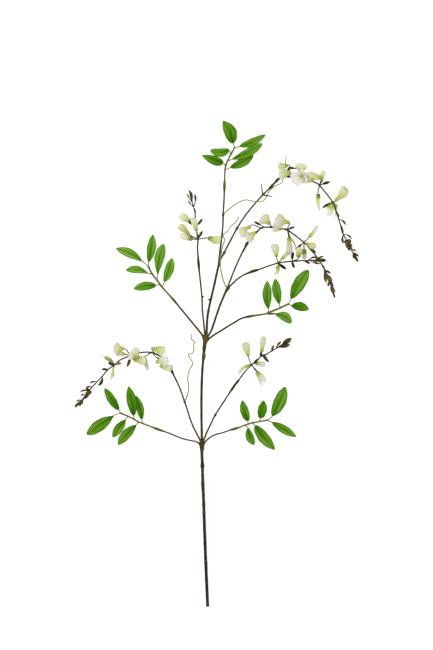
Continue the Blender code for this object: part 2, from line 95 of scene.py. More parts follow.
# Leaf stalks, each one moulding of stalk, plug sleeve and rachis: route, radii at the start and
# the end, swellings, and (joint on the rachis, foot of the blade, tip of the blade) for each
# leaflet. The last swelling is the plug sleeve.
LEAVES = {
    "top": (
        [
            (5.5, 233.6, 36), (9, 264, 38), (14, 307, 38), (15, 336, 37), (17, 371, 34),
            (18, 402, 30), (19, 435, 25), (21, 447, 23), (25, 458, 21), (33, 474, 18),
            (41, 488, 15),
        ],
        (2.2, 1.9),
        {3: (3.4, 5), 5: (3.5, 18)},
        [
            ((41, 488, 15), (38, 498, 13), (15, 550, 1)),
            ((32, 473, 18), (29, 482, 16), (-14, 482, 2)),
            ((20, 447, 23), (15, 453, 21), (-34, 472, 2)),
            ((42, 488, 15), (52, 491, 14), (111, 518, 1)),
            ((25, 458, 21), (33, 461, 23), (104, 498, 9)),
            ((19, 438, 24), (31, 443, 19), (83, 472, 1)),
        ],
    ),
    "upper_right": (
        [
            (-19, 55, 23), (-3, 66.5, 27), (11, 75, 29), (27, 85, 31), (42, 94, 32), (56, 102, 32),
            (76, 107, 31), (109, 112, 27), (119, 116, 25), (132, 121, 22), (144, 126, 19),
            (163, 135, 15),
        ],
        (2.2, 2.25),
        {6: (3.3, 17)},
        [
            ((118, 116, 25), (117, 123, 23), (115, 188, 8)),
            ((143, 126, 19), (142, 134, 17), (133, 192, 2)),
            ((163, 135, 15), (168, 146, 14), (208, 212, 1)),
            ((163, 135, 15), (169, 131, 14), (209, 123, 1)),
            ((117, 114, 25), (132, 112, 21), (170, 93, 2)),
        ],
    ),
    "upper_left": (
        [
            (-30, 62, 24), (-41, 76, 26), (-53, 90.5, 28), (-78, 121, 30), (-97, 144, 31),
            (-123, 173, 27), (-128.5, 180.3, 25.5), (-134, 188, 24), (-145, 202, 20),
            (-154, 219, 15),
        ],
        (2.2, 2.25),
        {4: (3.1, 16)},
        [
            ((-154, 218, 15), (-166, 230, 12), (-228, 261, 1)),
            ((-154, 219, 15), (-154, 228, 13), (-144, 293, 1)),
            ((-145, 203, 20), (-154, 204, 18), (-205, 212, 2)),
            ((-134, 188, 24), (-133, 197, 22), (-120, 271, 4)),
            ((-124, 173, 27), (-118, 184, 25), (-100, 239, 8)),
            ((-130, 178, 26), (-136, 177, 24), (-188, 169, 3)),
        ],
    ),
    "lower_left": (
        [
            (-38.6, -180, 15), (-47, -176, 16), (-62, -173, 18), (-78, -169, 20), (-91, -164, 21),
            (-105, -158, 22), (-133, -148, 23), (-167, -135, 20), (-176, -132, 19),
            (-186, -126, 18), (-200, -119, 16), (-217, -112, 13),
        ],
        (1.7, 2.0),
        {6: (3.3, 19)},
        [
            ((-217, -112, 13), (-221, -105, 12), (-253, -56, 1)),
            ((-217, -112, 13), (-231, -117, 11), (-294, -161, 1)),
            ((-200, -119, 16), (-205, -126, 14), (-235, -167, 1)),
            ((-176, -132, 19), (-181, -138, 17), (-223, -184, 1)),
            ((-187, -126, 18), (-187, -118, 20), (-199, -51, 9)),
            ((-168, -135, 20), (-169, -126, 14), (-182, -73, 1)),
        ],
    ),
    "lower_right": (
        [
            (-27.2, -179, 15), (-22, -173, 17), (-12, -165, 19), (-1, -160, 20), (14, -156, 22),
            (28, -151, 23), (42, -147, 23), (54, -143, 22), (64, -139, 21), (71, -137, 20),
            (81, -134, 18), (97, -131, 16), (115, -128, 13),
        ],
        (1.8, 1.85),
        {6: (3.4, 16)},
        [
            ((71, -137, 20), (71, -130, 19), (58, -83, 3)),
            ((97, -131, 16), (99, -124, 15), (107, -83, 2)),
            ((115, -128, 13), (126, -119, 12), (156, -52, 1)),
            ((64, -139, 21), (71, -145, 18), (85, -184, 3)),
            ((81, -134, 18), (87, -140, 16), (132, -195, 1)),
            ((115, -128, 13), (126, -133, 12), (181, -166, 1)),
        ],
    ),
}

# Racemes. "stalk" is the moulding up to its plug sleeve, which is its last swelling, "rachis" the
# run that carries florets, "tip" the last run, which carries only buds. "prongs" are short side
# twigs of the stalk.
# Florets are (root on the rachis, calyx, end of the petals, width, kind, degrees turned about its
# own axis, 0 yellow green to 1 white, sideways bow to the right).
# Buds are (root on the rachis, tip, width, sideways bow to the right, 0 dark to 1 golden).
RACEMES = {
    "top_right": {
        "stalk": [
            (8.7, 233.6, 36), (17, 250, 39), (29, 273, 43), (46, 305, 48), (64, 333, 53),
            (84, 358, 57), (105, 381, 61), (124, 400, 63), (136, 413, 64), (144, 420, 64),
        ],
        "swellings": {1: (3.5, 6), 3: (3.1, 7), 6: (2.8, 6), 7: (3.2, 14), 8: (3.7, 10)},
        "prongs": [((104, 380, 61), (101, 405, 64)), ((105, 380, 61), (126, 377, 62))],
        "rachis": [
            (144.7, 420.4, 64), (165, 421, 65), (186, 419, 64), (206, 414, 61), (223, 408, 58),
            (232, 402, 55), (245, 387, 50), (262, 365, 44), (267, 354, 40),
        ],
        "florets": [
            ((163, 421, 65), (158, 447, 68), (138, 440, 70), 23, "full", 10, 0.25, 0),
            ((161, 421, 65), (165, 431, 74), (138, 426, 78), 28, "full", -20, 0.4, 0),
            ((190, 418, 64), (192, 422, 70), (166, 411, 76), 36, "open", 0, 1.3, 0),
            ((186, 419, 64), (188, 429, 65), (192, 453, 68), 27, "fan", 0, 0.4, 0),
            ((212, 412, 60), (215, 413, 64), (198, 415, 68), 17, "full", 0, 0.3, 0),
            ((232, 402, 55), (236, 419, 59), (200, 426, 64), 21, "hooded", -10, 0.35, 0),
            ((232, 402, 55), (237, 419, 61), (242, 436, 64), 13, "fan", 0, 0.6, 0),
            ((232, 402, 55), (229, 381, 47), (233, 345, 38), 15, "tailed", 0, 0.6, 2.5),
            ((262, 365, 44), (270, 369, 47), (291, 399, 53), 24, "spoon", 0, 0.1, 4),
            ((264, 362, 42), (264, 360, 31), (254, 332, 24), 24, "frilled", 0, 0.8, 0),
        ],
        "buds": [
            ((160, 421, 65), (181, 438, 77), 6.5, -13, 0.25),
            ((232, 402, 55), (257, 410, 57), 6.5, 0, 0.15),
            ((262, 365, 44), (238, 351, 43), 6, 0, 0.15),
        ],
        "tip": [
            (267, 354, 40), (271, 341, 36), (275, 329, 31), (279, 316, 27), (283, 303, 23),
            (286, 293, 19), (290, 286, 17), (295, 277, 15), (301, 266, 12), (308, 251, 9),
            (320.5, 230, 4),
        ],
        "tip_buds": [
            ((269, 346, 37), (276, 328, 32), 5.5, 0, 0.25),
            ((278, 324, 29), (286, 290, 20), 7.2, -0.5, 0.42),
            ((277, 326, 30), (292, 312, 27), 5, -3, 0.35),
            ((288, 292, 20), (306, 281, 17), 4.5, -3.5, 0.3),
            ((287, 291, 19), (287, 271, 14), 6, 2, 0.2),
            ((294, 281, 16), (306, 257, 10), 20, 0, 0.42),
            ((292, 273, 14), (294, 261, 10), 4.5, 0, 0.2),
            ((298, 269, 12), (300, 255, 8), 7, 0, 0.1),
            ((305, 259, 11), (317, 256, 8), 4.5, 0, 0.9),
            ((309, 252, 9), (322, 243, 7), 5.5, 0, 0.4),
            ((310, 250, 9), (310, 237, 5), 4.5, 0, 0.3),
            ((311, 248, 8), (321, 230, 4), 7, 0, 0.25),
        ],
    },
    "middle_right": {
        "stalk": [(25.8, 174.2, 30), (38, 206, 36), (50, 234, 42), (61, 256, 46), (70, 273, 48)],
        "swellings": {3: (2.5, 10), 4: (3.9, 18)},
        "prongs": [],
        "rachis": [
            (70, 273, 48), (94, 300, 50), (102, 306, 50), (123, 308, 49), (147, 304, 47),
            (159, 302, 45), (175, 291, 42), (197, 274, 37), (215, 255, 30),
        ],
        "florets": [
            ((102, 306, 50), (74, 308, 56), (57, 285, 54), 20, "fan", 0, 0.45, 7),
            ((102, 306, 50), (86, 295, 57), (66, 279, 60), 25, "full", 0, 0.45, 0),
            ((122, 308, 49), (119, 316, 56), (101, 333, 62), 29, "full", 0, 0.5, 0),
            ((159, 302, 45), (161, 319, 51), (130, 324, 60), 35, "full", 0, 0.6, 0),
            ((155, 303, 46), (143, 304, 50), (125, 307, 55), 21, "full", 10, 0.5, 0),
            ((160, 300, 45), (163, 283, 40), (165, 244, 24), 17, "spoon", 0, 0.75, 0),
            ((160, 300, 45), (168, 282, 42), (178, 262, 36), 5, "narrow", 0, -0.9, -2),
            ((197, 274, 37), (210, 287, 41), (228, 313, 48), 12, "narrow", 0, 0.7, 1),
            ((197, 274, 37), (204, 270, 41), (223, 264, 44), 16, "spoon", 10, 0.1, 0),
            ((197, 274, 37), (198, 256, 27), (199, 237, 21), 11, "cupped", 0, 0.3, 0),
        ],
        "buds": [
            ((108, 307, 50), (83, 321, 57), 6, 0, 0.25),
            ((159, 302, 45), (177, 309, 46), 5.5, 0, 0.2),
            ((197, 274, 37), (177, 257, 28), 7, 0, 0.5),
            ((205, 266, 34), (226, 250, 29), 7, 0, 0.45),
        ],
        "tip": [
            (215, 255, 30), (221, 248, 27), (228, 239, 23), (238, 224, 18), (244, 212, 15),
            (247, 203, 14), (253, 192, 12), (258, 180, 10), (259, 171, 9), (262, 164, 7),
            (267, 149, 4),
        ],
        "tip_buds": [
            ((236, 227, 19), (246, 211, 16), 5.5, 0, 0.35),
            ((246, 213, 16), (259, 204, 13), 5.5, 0, 0.35),
            ((244, 213, 15), (252, 195, 12), 6, 0, 0.3),
            ((244, 211, 15), (249, 182, 11), 6.5, 2.5, 0.25),
            ((251, 203, 13), (261, 183, 10), 11.5, -1, 0.55),
            ((253, 192, 12), (265, 174, 9), 6.5, 0, 0.1),
            ((254, 187, 11), (252, 174, 9), 5, 0, 0.2),
            ((255, 176, 9), (265, 157, 5), 11, -1, 0.5),
            ((262, 164, 7), (268, 148, 3), 4.5, 0, 0.05),
        ],
    },
    "side_right": {
        "stalk": [
            (28.8, 173.2, 30), (45, 189, 33), (59, 199, 35), (75, 206, 36), (83, 209, 36.5),
            (94, 212, 37),
        ],
        "swellings": {4: (3.6, 20)},
        "prongs": [],
        "rachis": [
            (94, 212, 37), (116, 220, 38), (139, 227, 38), (158, 230, 38), (171, 231, 37),
            (180, 231.5, 37),
        ],
        "florets": [
            ((139, 227, 38), (135, 243, 42), (131, 270, 46), 21, "spoon", 0, 0.55, 0),
            ((139, 227, 38), (149, 238, 41), (161, 250, 44), 13, "spoon", 90, 0.2, 0),
            ((171, 231, 37), (185, 242, 41), (187, 263, 44), 17, "cupped", 0, 0.1, 0),
            ((139, 227, 38), (139, 219, 36), (131, 200, 31), 12, "narrow", 0, 0.2, -3),
        ],
        "buds": [
            ((139, 227, 38), (158, 213, 34), 8, 0, 0.05),
            ((171, 231, 37), (174, 253, 43), 7, -1.5, 0),
            ((171, 231, 37), (177, 216, 34), 7, 1, 0.05),
        ],
        "tip": [
            (180, 231.5, 37), (192, 232.5, 36), (200, 232.5, 35.5), (213, 233.5, 35),
            (227, 233.5, 34), (245, 233, 33),
        ],
        "tip_buds": [
            ((197, 232, 36), (212, 226, 34), 5.5, 0, 0.2),
            ((208, 233, 35), (229, 239, 38), 5, -3, 0.2),
            ((212, 233, 35), (231, 233, 35), 4.5, 0, 0.1),
            ((212, 229, 34), (235, 226, 33), 4, 3.5, 0.25),
            ((217, 231, 34), (228, 228, 34), 3, 0.5, 0.3),
            ((224, 234, 34), (241, 234, 33), 15, 0, 0.5),
            ((225, 240, 37), (243, 242.5, 36), 4.5, -1.5, 0.35),
            ((231, 232, 34), (248, 233.5, 33), 8, 0, 0.1),
        ],
    },
    "lower_left": {
        "stalk": [
            (-37.2, -172.4, 17), (-55, -137, 23), (-72, -86, 31), (-83, -55, 36), (-95, -29, 40),
            (-103, -13, 42),
        ],
        "swellings": {2: (3.2, 4.5), 5: (3.5, 18)},
        "prongs": [],
        "rachis": [
            (-103, -13, 42), (-112, -4, 43), (-123, 13, 45), (-140, 23, 46), (-155, 26, 46),
            (-172, 25, 44), (-186, 22, 42), (-200, 16, 39), (-218, 8, 35), (-231, -3, 31),
            (-245, -13, 27),
        ],
        "florets": [
            ((-110, -6, 43), (-125, -6, 51), (-99, -9, 55), 16, "spoon", 0, 0.35, 2),
            ((-123, 13, 45), (-134, 4, 49), (-107, 9, 59), 25, "fan", 0, 0.75, 0),
            ((-140, 23, 46), (-143, 35, 51), (-113, 27, 55), 22, "full", 0, 0.12, 0),
            ((-178, 24, 45), (-178, 15, 52), (-187, 38, 60), 21, "fan", 0, 0.6, 0),
            ((-186, 22, 42), (-183, 17, 54), (-200, 18, 57), 18, "fan", 0, 0.9, 0),
            ((-188, 21, 42), (-185, 9, 44), (-157, 7, 47), 21, "full", 0, 0.3, 0),
            ((-147, 25, 46), (-161, 10, 39), (-155, -16, 30), 10, "spoon", 0, 0.7, 0),
            ((-195, 18, 40), (-211, 34, 47), (-234, 36, 53), 30, "full", 0, 0.35, 0),
            ((-195, 18, 40), (-210, 22, 44), (-225, 25, 46), 14, "spoon", 50, 0.2, 0),
            ((-231, -3, 31), (-237, 6, 33), (-265, 23, 35), 11, "closed", 0, 0.9, 0),
            ((-231, -3, 31), (-233, -12, 28), (-241, -38, 20), 15, "leafy", 0, 0.25, -2.5),
        ],
        "buds": [
            ((-143, 24, 46), (-125, 9, 50), 4, 2, 0.1),
            ((-192, 19, 41), (-202, -8, 36), 7, 0, 0.32),
            ((-231, -3, 31), (-245, 3, 30), 7.5, 0, 0.15),
            ((-231, -3, 31), (-214, 0, 32), 8, -2, 0.85),
        ],
        "tip": [
            (-245, -13, 27), (-251, -20, 25), (-258, -28, 22), (-270, -41, 18), (-281, -53, 14),
            (-290, -63, 12), (-297, -73, 10), (-304, -82, 8), (-320.5, -99, 4),
        ],
        "tip_buds": [
            ((-244, -10, 27), (-260, -13, 25), 6, 0, 0.2),
            ((-257, -28, 22), (-268, -50, 16), 7.5, -4, 0.15),
            ((-272, -39, 17), (-287, -45, 15), 4.5, 2.5, 0.25),
            ((-281, -52, 14), (-296, -60, 12), 5, 4.5, 0.2),
            ((-292, -61, 12), (-309, -64, 10), 4.2, 3, 0.1),
            ((-287, -59, 12), (-297, -80, 9), 16, 0, 0.38),
            ((-297, -71, 11), (-308, -73, 9), 3.6, 2, 0.1),
            ((-297, -72, 10), (-304, -85, 8), 5, 0, 0.15),
            ((-302, -80, 9), (-304, -93, 7), 3.6, 0, 0.15),
            ((-304, -82, 8), (-318, -85, 8), 4.6, 0, 0.75),
            ((-308, -83, 8), (-310, -97, 5), 5.5, 0, 0.3),
            ((-308, -87, 7), (-321, -99, 3), 7, 0, 0.15),
        ],
    },
    "lower_right": {
        "stalk": [
            (-28.8, -172.4, 17), (-21, -153, 20), (-14, -139, 22), (-3, -116, 26), (15, -88, 31),
            (38, -53, 36), (50, -37, 38),
        ],
        "swellings": {3: (3.3, 4), 5: (3.2, 20), 6: (3.0, 20)},
        "prongs": [],
        "rachis": [
            (50, -37, 38), (66, -16, 39), (79, -3, 38), (92, 8, 35), (102, 18, 33), (113, 21, 30),
        ],
        "florets": [
            ((79, -3, 38), (71, 19, 44), (65, 48, 52), 20, "spoon", 0, 0.35, 0),
            ((79, -3, 38), (70, -5, 45), (50, -26, 47), 11, "narrow", 0, 0.6, 5),
            ((102, 18, 33), (102, 28, 37), (106, 62, 46), 16, "spoon", 0, 0.5, 0),
            ((79, -3, 38), (89, 1, 33), (111, -2, 29), 13, "spoon", 0, 0.9, 0),
            ((79, -3, 38), (92, -20, 30), (110, -42, 24), 15, "hooded", 0, 0.8, -1),
            ((79, -3, 38), (93, -22, 29), (102, -50, 20), 9, "narrow", 0, 0.8, 0),
        ],
        "buds": [
            ((79, -3, 38), (98, 13, 39), 6, 0, 0.15),
            ((102, 18, 33), (119, 3, 28), 6.5, 0, 0.35),
            ((102, 18, 33), (114, 14, 35), 5.5, 0, 0.3),
            ((102, 13, 33), (101, 28, 37), 6, 0, 0),
        ],
        "tip": [
            (113, 21, 30), (120, 26, 28), (125, 28.5, 26), (137, 36, 21), (148, 43, 16),
            (158, 51, 11), (168, 56, 5),
        ],
        "tip_buds": [
            ((124, 28, 26), (130, 42, 26), 5.5, -1.5, 0.35),
            ((133, 35, 22), (147, 51, 19), 5, -1, 0.3),
            ((137, 35, 22), (167, 43, 13), 8, 0, 0.3),
            ((147, 42, 16), (170, 58, 6), 11, 0, 0.3),
        ],
    },
    "upper_left": {
        "stalk": [
            (-26.2, 65.0, 24), (-30, 102, 27), (-32, 121, 29), (-33, 151, 31), (-38, 200, 34),
            (-40.5, 226, 35), (-43, 261, 35),
        ],
        "swellings": {2: (2.2, 6), 5: (3.3, 22)},
        "prongs": [],
        "rachis": [(-43, 261, 35), (-42, 281, 35), (-45, 300, 33), (-47, 323, 28)],
        "florets": [
            ((-42, 281, 35), (-17, 283, 38), (9, 279, 34), 22, "cupped", 0, 0.1, 2),
            ((-42, 281, 35), (-56, 282, 32), (-84, 289, 27), 17, "cupped", 0, 0.8, 0),
            ((-42, 281, 35), (-64, 294, 39), (-84, 313, 41), 18, "spoon", 0, -0.1, 0),
            ((-43, 289, 34), (-46, 302, 40), (-53, 330, 42), 15, "spoon", 0, 0.5, 0),
            ((-46, 310, 31), (-61, 323, 27), (-84, 335, 23), 20, "fan", 10, 0.4, 0),
        ],
        "buds": [
            ((-42, 281, 35), (-31, 300, 39), 6.8, 0, 0.1),
            ((-46, 310, 31), (-66, 321, 35), 5.2, 0, 0.1),
            ((-46, 310, 31), (-31, 328, 32), 6, 0, 0.05),
        ],
        "tip": [
            (-47, 323, 28), (-48, 335, 25), (-49.5, 345, 23), (-52, 354, 21), (-57, 372, 14),
            (-62, 391, 5),
        ],
        "tip_buds": [
            ((-47.5, 332, 26), (-50, 352, 22), 4.6, 0, 0.15),
            ((-51, 353, 21), (-49.5, 385, 12), 5.5, 3.5, 0.25),
            ((-57, 364, 17), (-68, 386, 9), 4, -1, 0.5),
            ((-53, 353, 21), (-64, 370, 18), 4, -2, 0.6),
            ((-55, 362, 17), (-61.5, 393, 5), 7.2, 1, 0.35),
        ],
    },
}

# Routes of the three tendrils.
TENDRILS = {
    "tendril_lower": [
        (-70.8, -85, 33), (-67, -74, 35), (-63, -60, 33), (-64, -43, 29), (-65, -33, 26),
        (-62, -16, 22), (-54, 1, 18), (-64, 20, 15), (-55, 23, 13), (-51, 33, 11), (-53, 43, 9),
        (-49, 48, 8), (-57, 56, 6), (-57, 67, 5),
    ],
    "tendril_middle": [
        (23.2, 170, 33.4), (15, 189, 38), (10, 212, 40), (9, 235, 42), (13, 262, 43),
        (18, 279, 41), (15, 290, 43), (25, 299, 42), (32, 310, 38), (43, 319, 36), (51, 332, 34),
    ],
    "tendril_upper": [
        (16.8, 338.6, 39.4), (35, 354, 46), (52, 365, 54), (68, 369, 60), (88, 365, 62),
        (104, 366, 59), (112, 376, 57), (119, 389, 56), (133, 401, 56), (147, 408, 57),
        (152, 424, 55), (154, 445, 54), (157, 466, 57),
    ],
}

# Places along each bark stem, in millimetres from its start. Knots are (place, height), wraps of
# tape are (start, end, pitch, height), tones are (place, 0 dark to 1 pale) and greens are
# (place, 0 brown to 1 green).
BARK_DETAILS = {
    "main_stem_lower": (
        [(100, 0.5), (214, 0.5), (233, 0.35), (274, 0.7), (318, 0.6)],
        [(352, 377, 5, 0.5)],
        [
            (0, 0.55), (30, 0.5), (36, 0.1), (90, 0.1), (100, 0.5), (108, 0.2), (205, 0.2),
            (216, 0.5), (300, 0.5), (377, 0.45),
        ],
        [(0, 0.0), (300, 0.05), (350, 0.15), (377, 0.25)],
    ),
    "main_stem_upper": (
        [(60, 0.35), (98, 0.3), (130, 0.3), (192, 0.5)],
        [(215, 240, 4, 0.4)],
        [(0, 0.5), (80, 0.4), (180, 0.5), (190, 0.95), (203, 0.55), (238, 1.0)],
        [(0, 0.1), (150, 0.05), (195, 0.2), (210, 0.05), (238, 0.15)],
    ),
    "centre_branch": (
        [(58, 0.3), (84, 0.3), (122, 0.3), (168, 0.4)],
        [],
        [(0, 0.55), (20, 0.5), (100, 0.55), (172, 0.45)],
        [(0, 0.25), (25, 0.05), (172, 0.15)],
    ),
    "right_branch": (
        [(60, 0.3), (98, 0.3)],
        [],
        [(0, 0.55), (20, 0.5), (60, 0.5), (118, 0.4)],
        [(0, 0.25), (25, 0.05), (118, 0.25)],
    ),
}

# Joints that are bound below a fork: middle of the binding, radius of one bound foot, and
# (place, direction) where each branch leaves.
JOINTS = {
    "main_stem_lower": (
        (-33, -196, 15),
        2.2,
        [
            ((-37.6, -180, 15), (-0.9, 0.35, 0.1)),
            ((-28.2, -179.5, 15), (0.6, 0.7, 0.2)),
            ((-36.4, -174, 16), (-0.45, 0.9, 0.1)),
            ((-29.6, -174, 16), (0.35, 0.9, 0.15)),
            ((-33, -174, 18), (0, 1, 0.1)),
        ],
    ),
    "main_stem_upper": (
        (-27.5, 40, 23),
        2.3,
        [
            ((-22.8, 62.8, 24), (0.1, 1, 0.1)),
            ((-18.8, 62.6, 24), (0.5, 0.85, 0)),
            ((-19.5, 54.6, 23), (0.8, 0.57, 0.1)),
            ((-30.3, 61.8, 24), (-0.65, 0.76, 0.1)),
            ((-26, 63.6, 24), (-0.1, 1, 0.1)),
        ],
    ),
}

# How each leaflet differs: half widths to the left and the right of its midrib (seen from its
# foot) in millimetres, share of its length where it is widest, bluntness of its foot and its tip
# (lower is blunter), sideways bow to the right in millimetres, the side that gets painted sheen
# (-1 left, 1 right, 0 both), how strong that painted sheen is, and lightness.
LEAFLET_STYLES = {
    "top": [
        (13.6, 14.6, 0.42, 0.42, 0.74, 3.6, -1, 0.5, -0.05),
        (9.6, 9.6, 0.42, 0.36, 0.45, -5.0, -1, 0.4, 0.07),
        (11.5, 9.0, 0.34, 0.30, 0.90, 0.0, 0, 0.4, -0.11),
        (8.9, 8.9, 0.46, 0.50, 0.66, 3.0, -1, 0.6, 0.16),
        (9.0, 10.4, 0.55, 0.80, 0.60, 3.0, 1, 0.5, 0.16),
        (9.0, 11.0, 0.50, 0.50, 0.55, 2.0, 1, 1.0, 0.02),
    ],
    "upper_right": [
        (10.3, 10.3, 0.52, 0.62, 0.80, -1.8, 0, 0.6, 0.03),
        (10.0, 10.0, 0.52, 0.65, 0.65, -1.1, -1, 0.7, 0.04),
        (14.3, 14.1, 0.52, 0.60, 0.58, -1.5, 1, 0.9, 0.09),
        (10.3, 10.3, 0.46, 0.55, 0.66, -2.4, 0, 0.3, -0.10),
        (10.7, 10.5, 0.52, 0.80, 0.50, -5.0, 0, 1.1, 0.13),
    ],
    "upper_left": [
        (10.3, 10.3, 0.55, 0.90, 0.70, 4.0, -1, 1.8, 0.18),
        (10.0, 10.3, 0.52, 0.70, 0.75, 1.5, 0, 0.8, 0.02),
        (8.5, 8.7, 0.58, 0.80, 0.60, 4.8, -1, 0.8, 0.12),
        (11.3, 11.0, 0.62, 1.10, 0.60, -3.4, -1, 1.3, 0.09),
        (10.0, 10.5, 0.52, 0.50, 0.65, 1.6, 1, 0.7, 0.20),
        (9.8, 10.0, 0.46, 0.50, 0.70, 2.4, 1, 0.7, 0.04),
    ],
    "lower_left": [
        (9.6, 9.4, 0.48, 0.48, 0.62, -0.5, -1, 0.5, -0.08),
        (13.0, 13.7, 0.52, 0.95, 0.60, 0.3, 1, 0.9, -0.03),
        (9.3, 10.3, 0.50, 0.70, 0.65, 0.5, -1, 0.8, 0.02),
        (9.5, 12.0, 0.50, 0.70, 0.60, 0.8, 0, 0.8, 0.02),
        (11.0, 11.5, 0.50, 0.50, 0.76, 1.0, -1, 0.7, -0.16),
        (8.8, 8.2, 0.48, 0.44, 0.66, 2.5, 1, 0.5, -0.06),
    ],
    "lower_right": [
        (9.8, 9.4, 0.46, 0.34, 0.72, -1.2, -1, 0.3, -0.03),
        (9.8, 10.8, 0.46, 0.34, 0.76, 0.3, 1, 0.3, -0.11),
        (14.0, 14.0, 0.50, 0.56, 0.66, 2.2, 0, 0.9, 0.05),
        (9.0, 9.3, 0.52, 0.60, 0.60, 3.2, 1, 0.8, 0.05),
        (12.2, 12.6, 0.46, 0.44, 0.72, 1.8, 1, 1.0, 0.04),
        (9.6, 9.3, 0.48, 0.50, 0.76, 0.0, 0, 0.7, 0.04),
    ],
}

# A narrow fold of green cloth that hides the stalk of one leaflet: foot, tip
FOLDED_FEET = {("upper_right", 5): ((113, 112, 23), (136, 113, 21))}

# Petals of each kind of floret: length and width as shares of the floret's, the share where it is
# widest, how far it opens (as a share of the lean that reaches the floret's width) and how many
# degrees more it leans at its end, how far its edges bow in there (radians), its place about the
# axis (degrees from the top), and the bluntness of its end.
PETALS = {
    "spoon": (
        (1.0, 1.0, 0.68, 0.8, -2, 0.7, 180, 2.3),
        (0.94, 0.52, 0.62, 1.1, -4, 0.9, 88, 2.3),
        (0.92, 0.50, 0.64, 1.1, -4, 0.9, -90, 2.3),
        (0.92, 0.96, 0.66, 0.8, -4, 0.8, 0, 2.3),
    ),
    "fan": (
        (1.0, 1.02, 0.50, 0.5, -4, 0.35, 0, 2.6),
        (0.84, 0.52, 0.60, 1.0, -4, 0.8, 92, 2.3),
        (0.80, 0.50, 0.60, 1.0, -4, 0.8, -96, 2.3),
        (0.86, 0.90, 0.58, 0.8, 0, 0.6, 180, 2.4),
    ),
    "full": (
        (1.0, 1.0, 0.34, 0.3, 0, 0.35, 0, 2.5),
        (0.96, 0.62, 0.60, 0.8, 8, 0.6, 88, 2.3),
        (0.92, 0.60, 0.62, 0.8, 8, 0.6, -92, 2.3),
        (0.90, 0.90, 0.50, 0.5, 0, 0.6, 180, 2.4),
    ),
    "hooded": (
        (1.0, 1.0, 0.42, 0.6, -4, 0.5, 0, 2.6),
        (0.90, 0.70, 0.60, 1.0, -4, 0.8, 180, 2.4),
        (0.80, 0.60, 0.60, 0.9, 4, 0.6, 80, 2.4),
    ),
    "cupped": (
        (1.0, 0.96, 0.66, 0.7, -2, 0.8, 0, 2.4),
        (0.92, 0.50, 0.62, 1.0, -4, 0.9, 90, 2.3),
        (0.90, 0.90, 0.62, 0.8, -4, 0.8, 180, 2.4),
    ),
    "open": (
        (1.0, 1.0, 0.58, 0, 86, 0.3, 0, 2.8),
        (0.56, 0.64, 0.6, 0, 84, 0.4, 80, 2.6),
        (0.52, 0.64, 0.6, 0, 84, 0.4, -78, 2.6),
        (0.40, 0.56, 0.6, 0, 80, 0.5, 150, 2.6),
        (0.38, 0.54, 0.6, 0, 80, 0.5, -142, 2.6),
        (0.16, 0.2, 0.6, 0, -30, 0.6, 20, 2.4),
        (0.16, 0.2, 0.6, 0, -34, 0.6, 200, 2.4),
    ),
    "narrow": (
        (1.0, 0.90, 0.42, 0.3, -2, 1.1, 180, 2.1),
        (0.97, 0.90, 0.42, 0.3, -2, 1.1, 0, 2.1),
        (0.74, 0.72, 0.45, 0.3, -2, 1.2, 80, 2.2),
        (0.70, 0.72, 0.45, 0.3, -2, 1.2, -80, 2.2),
    ),
    "tailed": ((1.0, 0.74, 0.40, 0.1, 0, 1.2, 0, 1.9), (0.90, 0.74, 0.40, 0.1, 0, 1.2, 180, 1.9)),
    "leafy": (
        (1.0, 0.30, 0.30, 0.1, 0, 1.2, 0, 1.9),
        (0.80, 0.78, 0.44, 0.1, 0, 1.2, 90, 1.5),
        (0.80, 0.78, 0.44, 0.1, 0, 1.2, -90, 1.5),
        (0.78, 0.70, 0.44, 0.1, 0, 1.2, 180, 1.5),
    ),
    "closed": (
        (1.0, 0.50, 0.30, 0.1, -4, 1.2, 0, 1.4),
        (0.86, 0.70, 0.40, 0.1, -8, 1.2, 90, 1.8),
        (0.86, 0.70, 0.40, 0.1, -8, 1.2, -90, 1.8),
    ),
    "frilled": (
        (1.0, 0.56, 0.66, 0.9, 4, 0.7, -96, 2.4),
        (0.92, 0.60, 0.66, 0.4, 2, 0.7, 10, 2.4),
        (0.96, 0.56, 0.64, 1.0, 4, 0.7, 92, 2.4),
    ),
}

FACING_UP = {"open"}  # these florets look up, and their first petal points to their end
WIDE_CUPS = {"frilled"}  # these calyxes open wider than their floret's width allows

# Calyx of each kind of floret: depth of the cup, radius of its mouth and length of its teeth, in
# millimetres, and its shade (lower is a darker green)
CALYXES = {
    "spoon": (6.0, 4.4, 1.4, 0.0),
    "fan": (6.5, 4.6, 1.4, 0.1),
    "full": (6.0, 4.8, 1.2, 0.1),
    "open": (4.0, 3.0, 1.2, 0.0),
    "hooded": (8.0, 5.4, 1.8, -0.05),
    "cupped": (9.5, 5.6, 1.6, -0.3),
    "narrow": (8.5, 4.8, 1.6, 0.15),
    "tailed": (9.5, 5.2, 0.8, -0.4),
    "closed": (17.0, 4.6, 4.0, -0.2),
    "leafy": (5.0, 2.5, 0.8, 0.6),
    "frilled": (8.0, 11.5, 6.0, 0.15),
}

# Stubs of side shoots that were cut off a stem: foot, tip
STUBS = {
    "centre_branch": [((-13, 143, 31), (-18.5, 145.5, 31))],
    "upper_left": [((-33, 150, 31), (-29, 152, 33))],
}

SEED = 20  # each operator draws from a seed of its own, counted on from this one

# Sides of each kind of tube, and its rings or the millimetres from one ring to the next
STEM_SIDES, STEM_STEP = 28, 1.6
TWIG_SIDES, TWIG_STEP = 14, 2.0
TENDRIL_SIDES, TENDRIL_STEP = 8, 1.5
BOUND_FOOT_SIDES, BOUND_FOOT_RINGS = 12, 12
STUB_SIDES, STUB_RINGS = 12, 5
LEAFLET_STALK_SIDES, LEAFLET_STALK_RINGS = 9, 9
PEDICEL_SIDES, PEDICEL_RINGS = 9, 10
BUD_SIDES, BUD_RINGS = 12, 18
PRONG_RINGS = 14
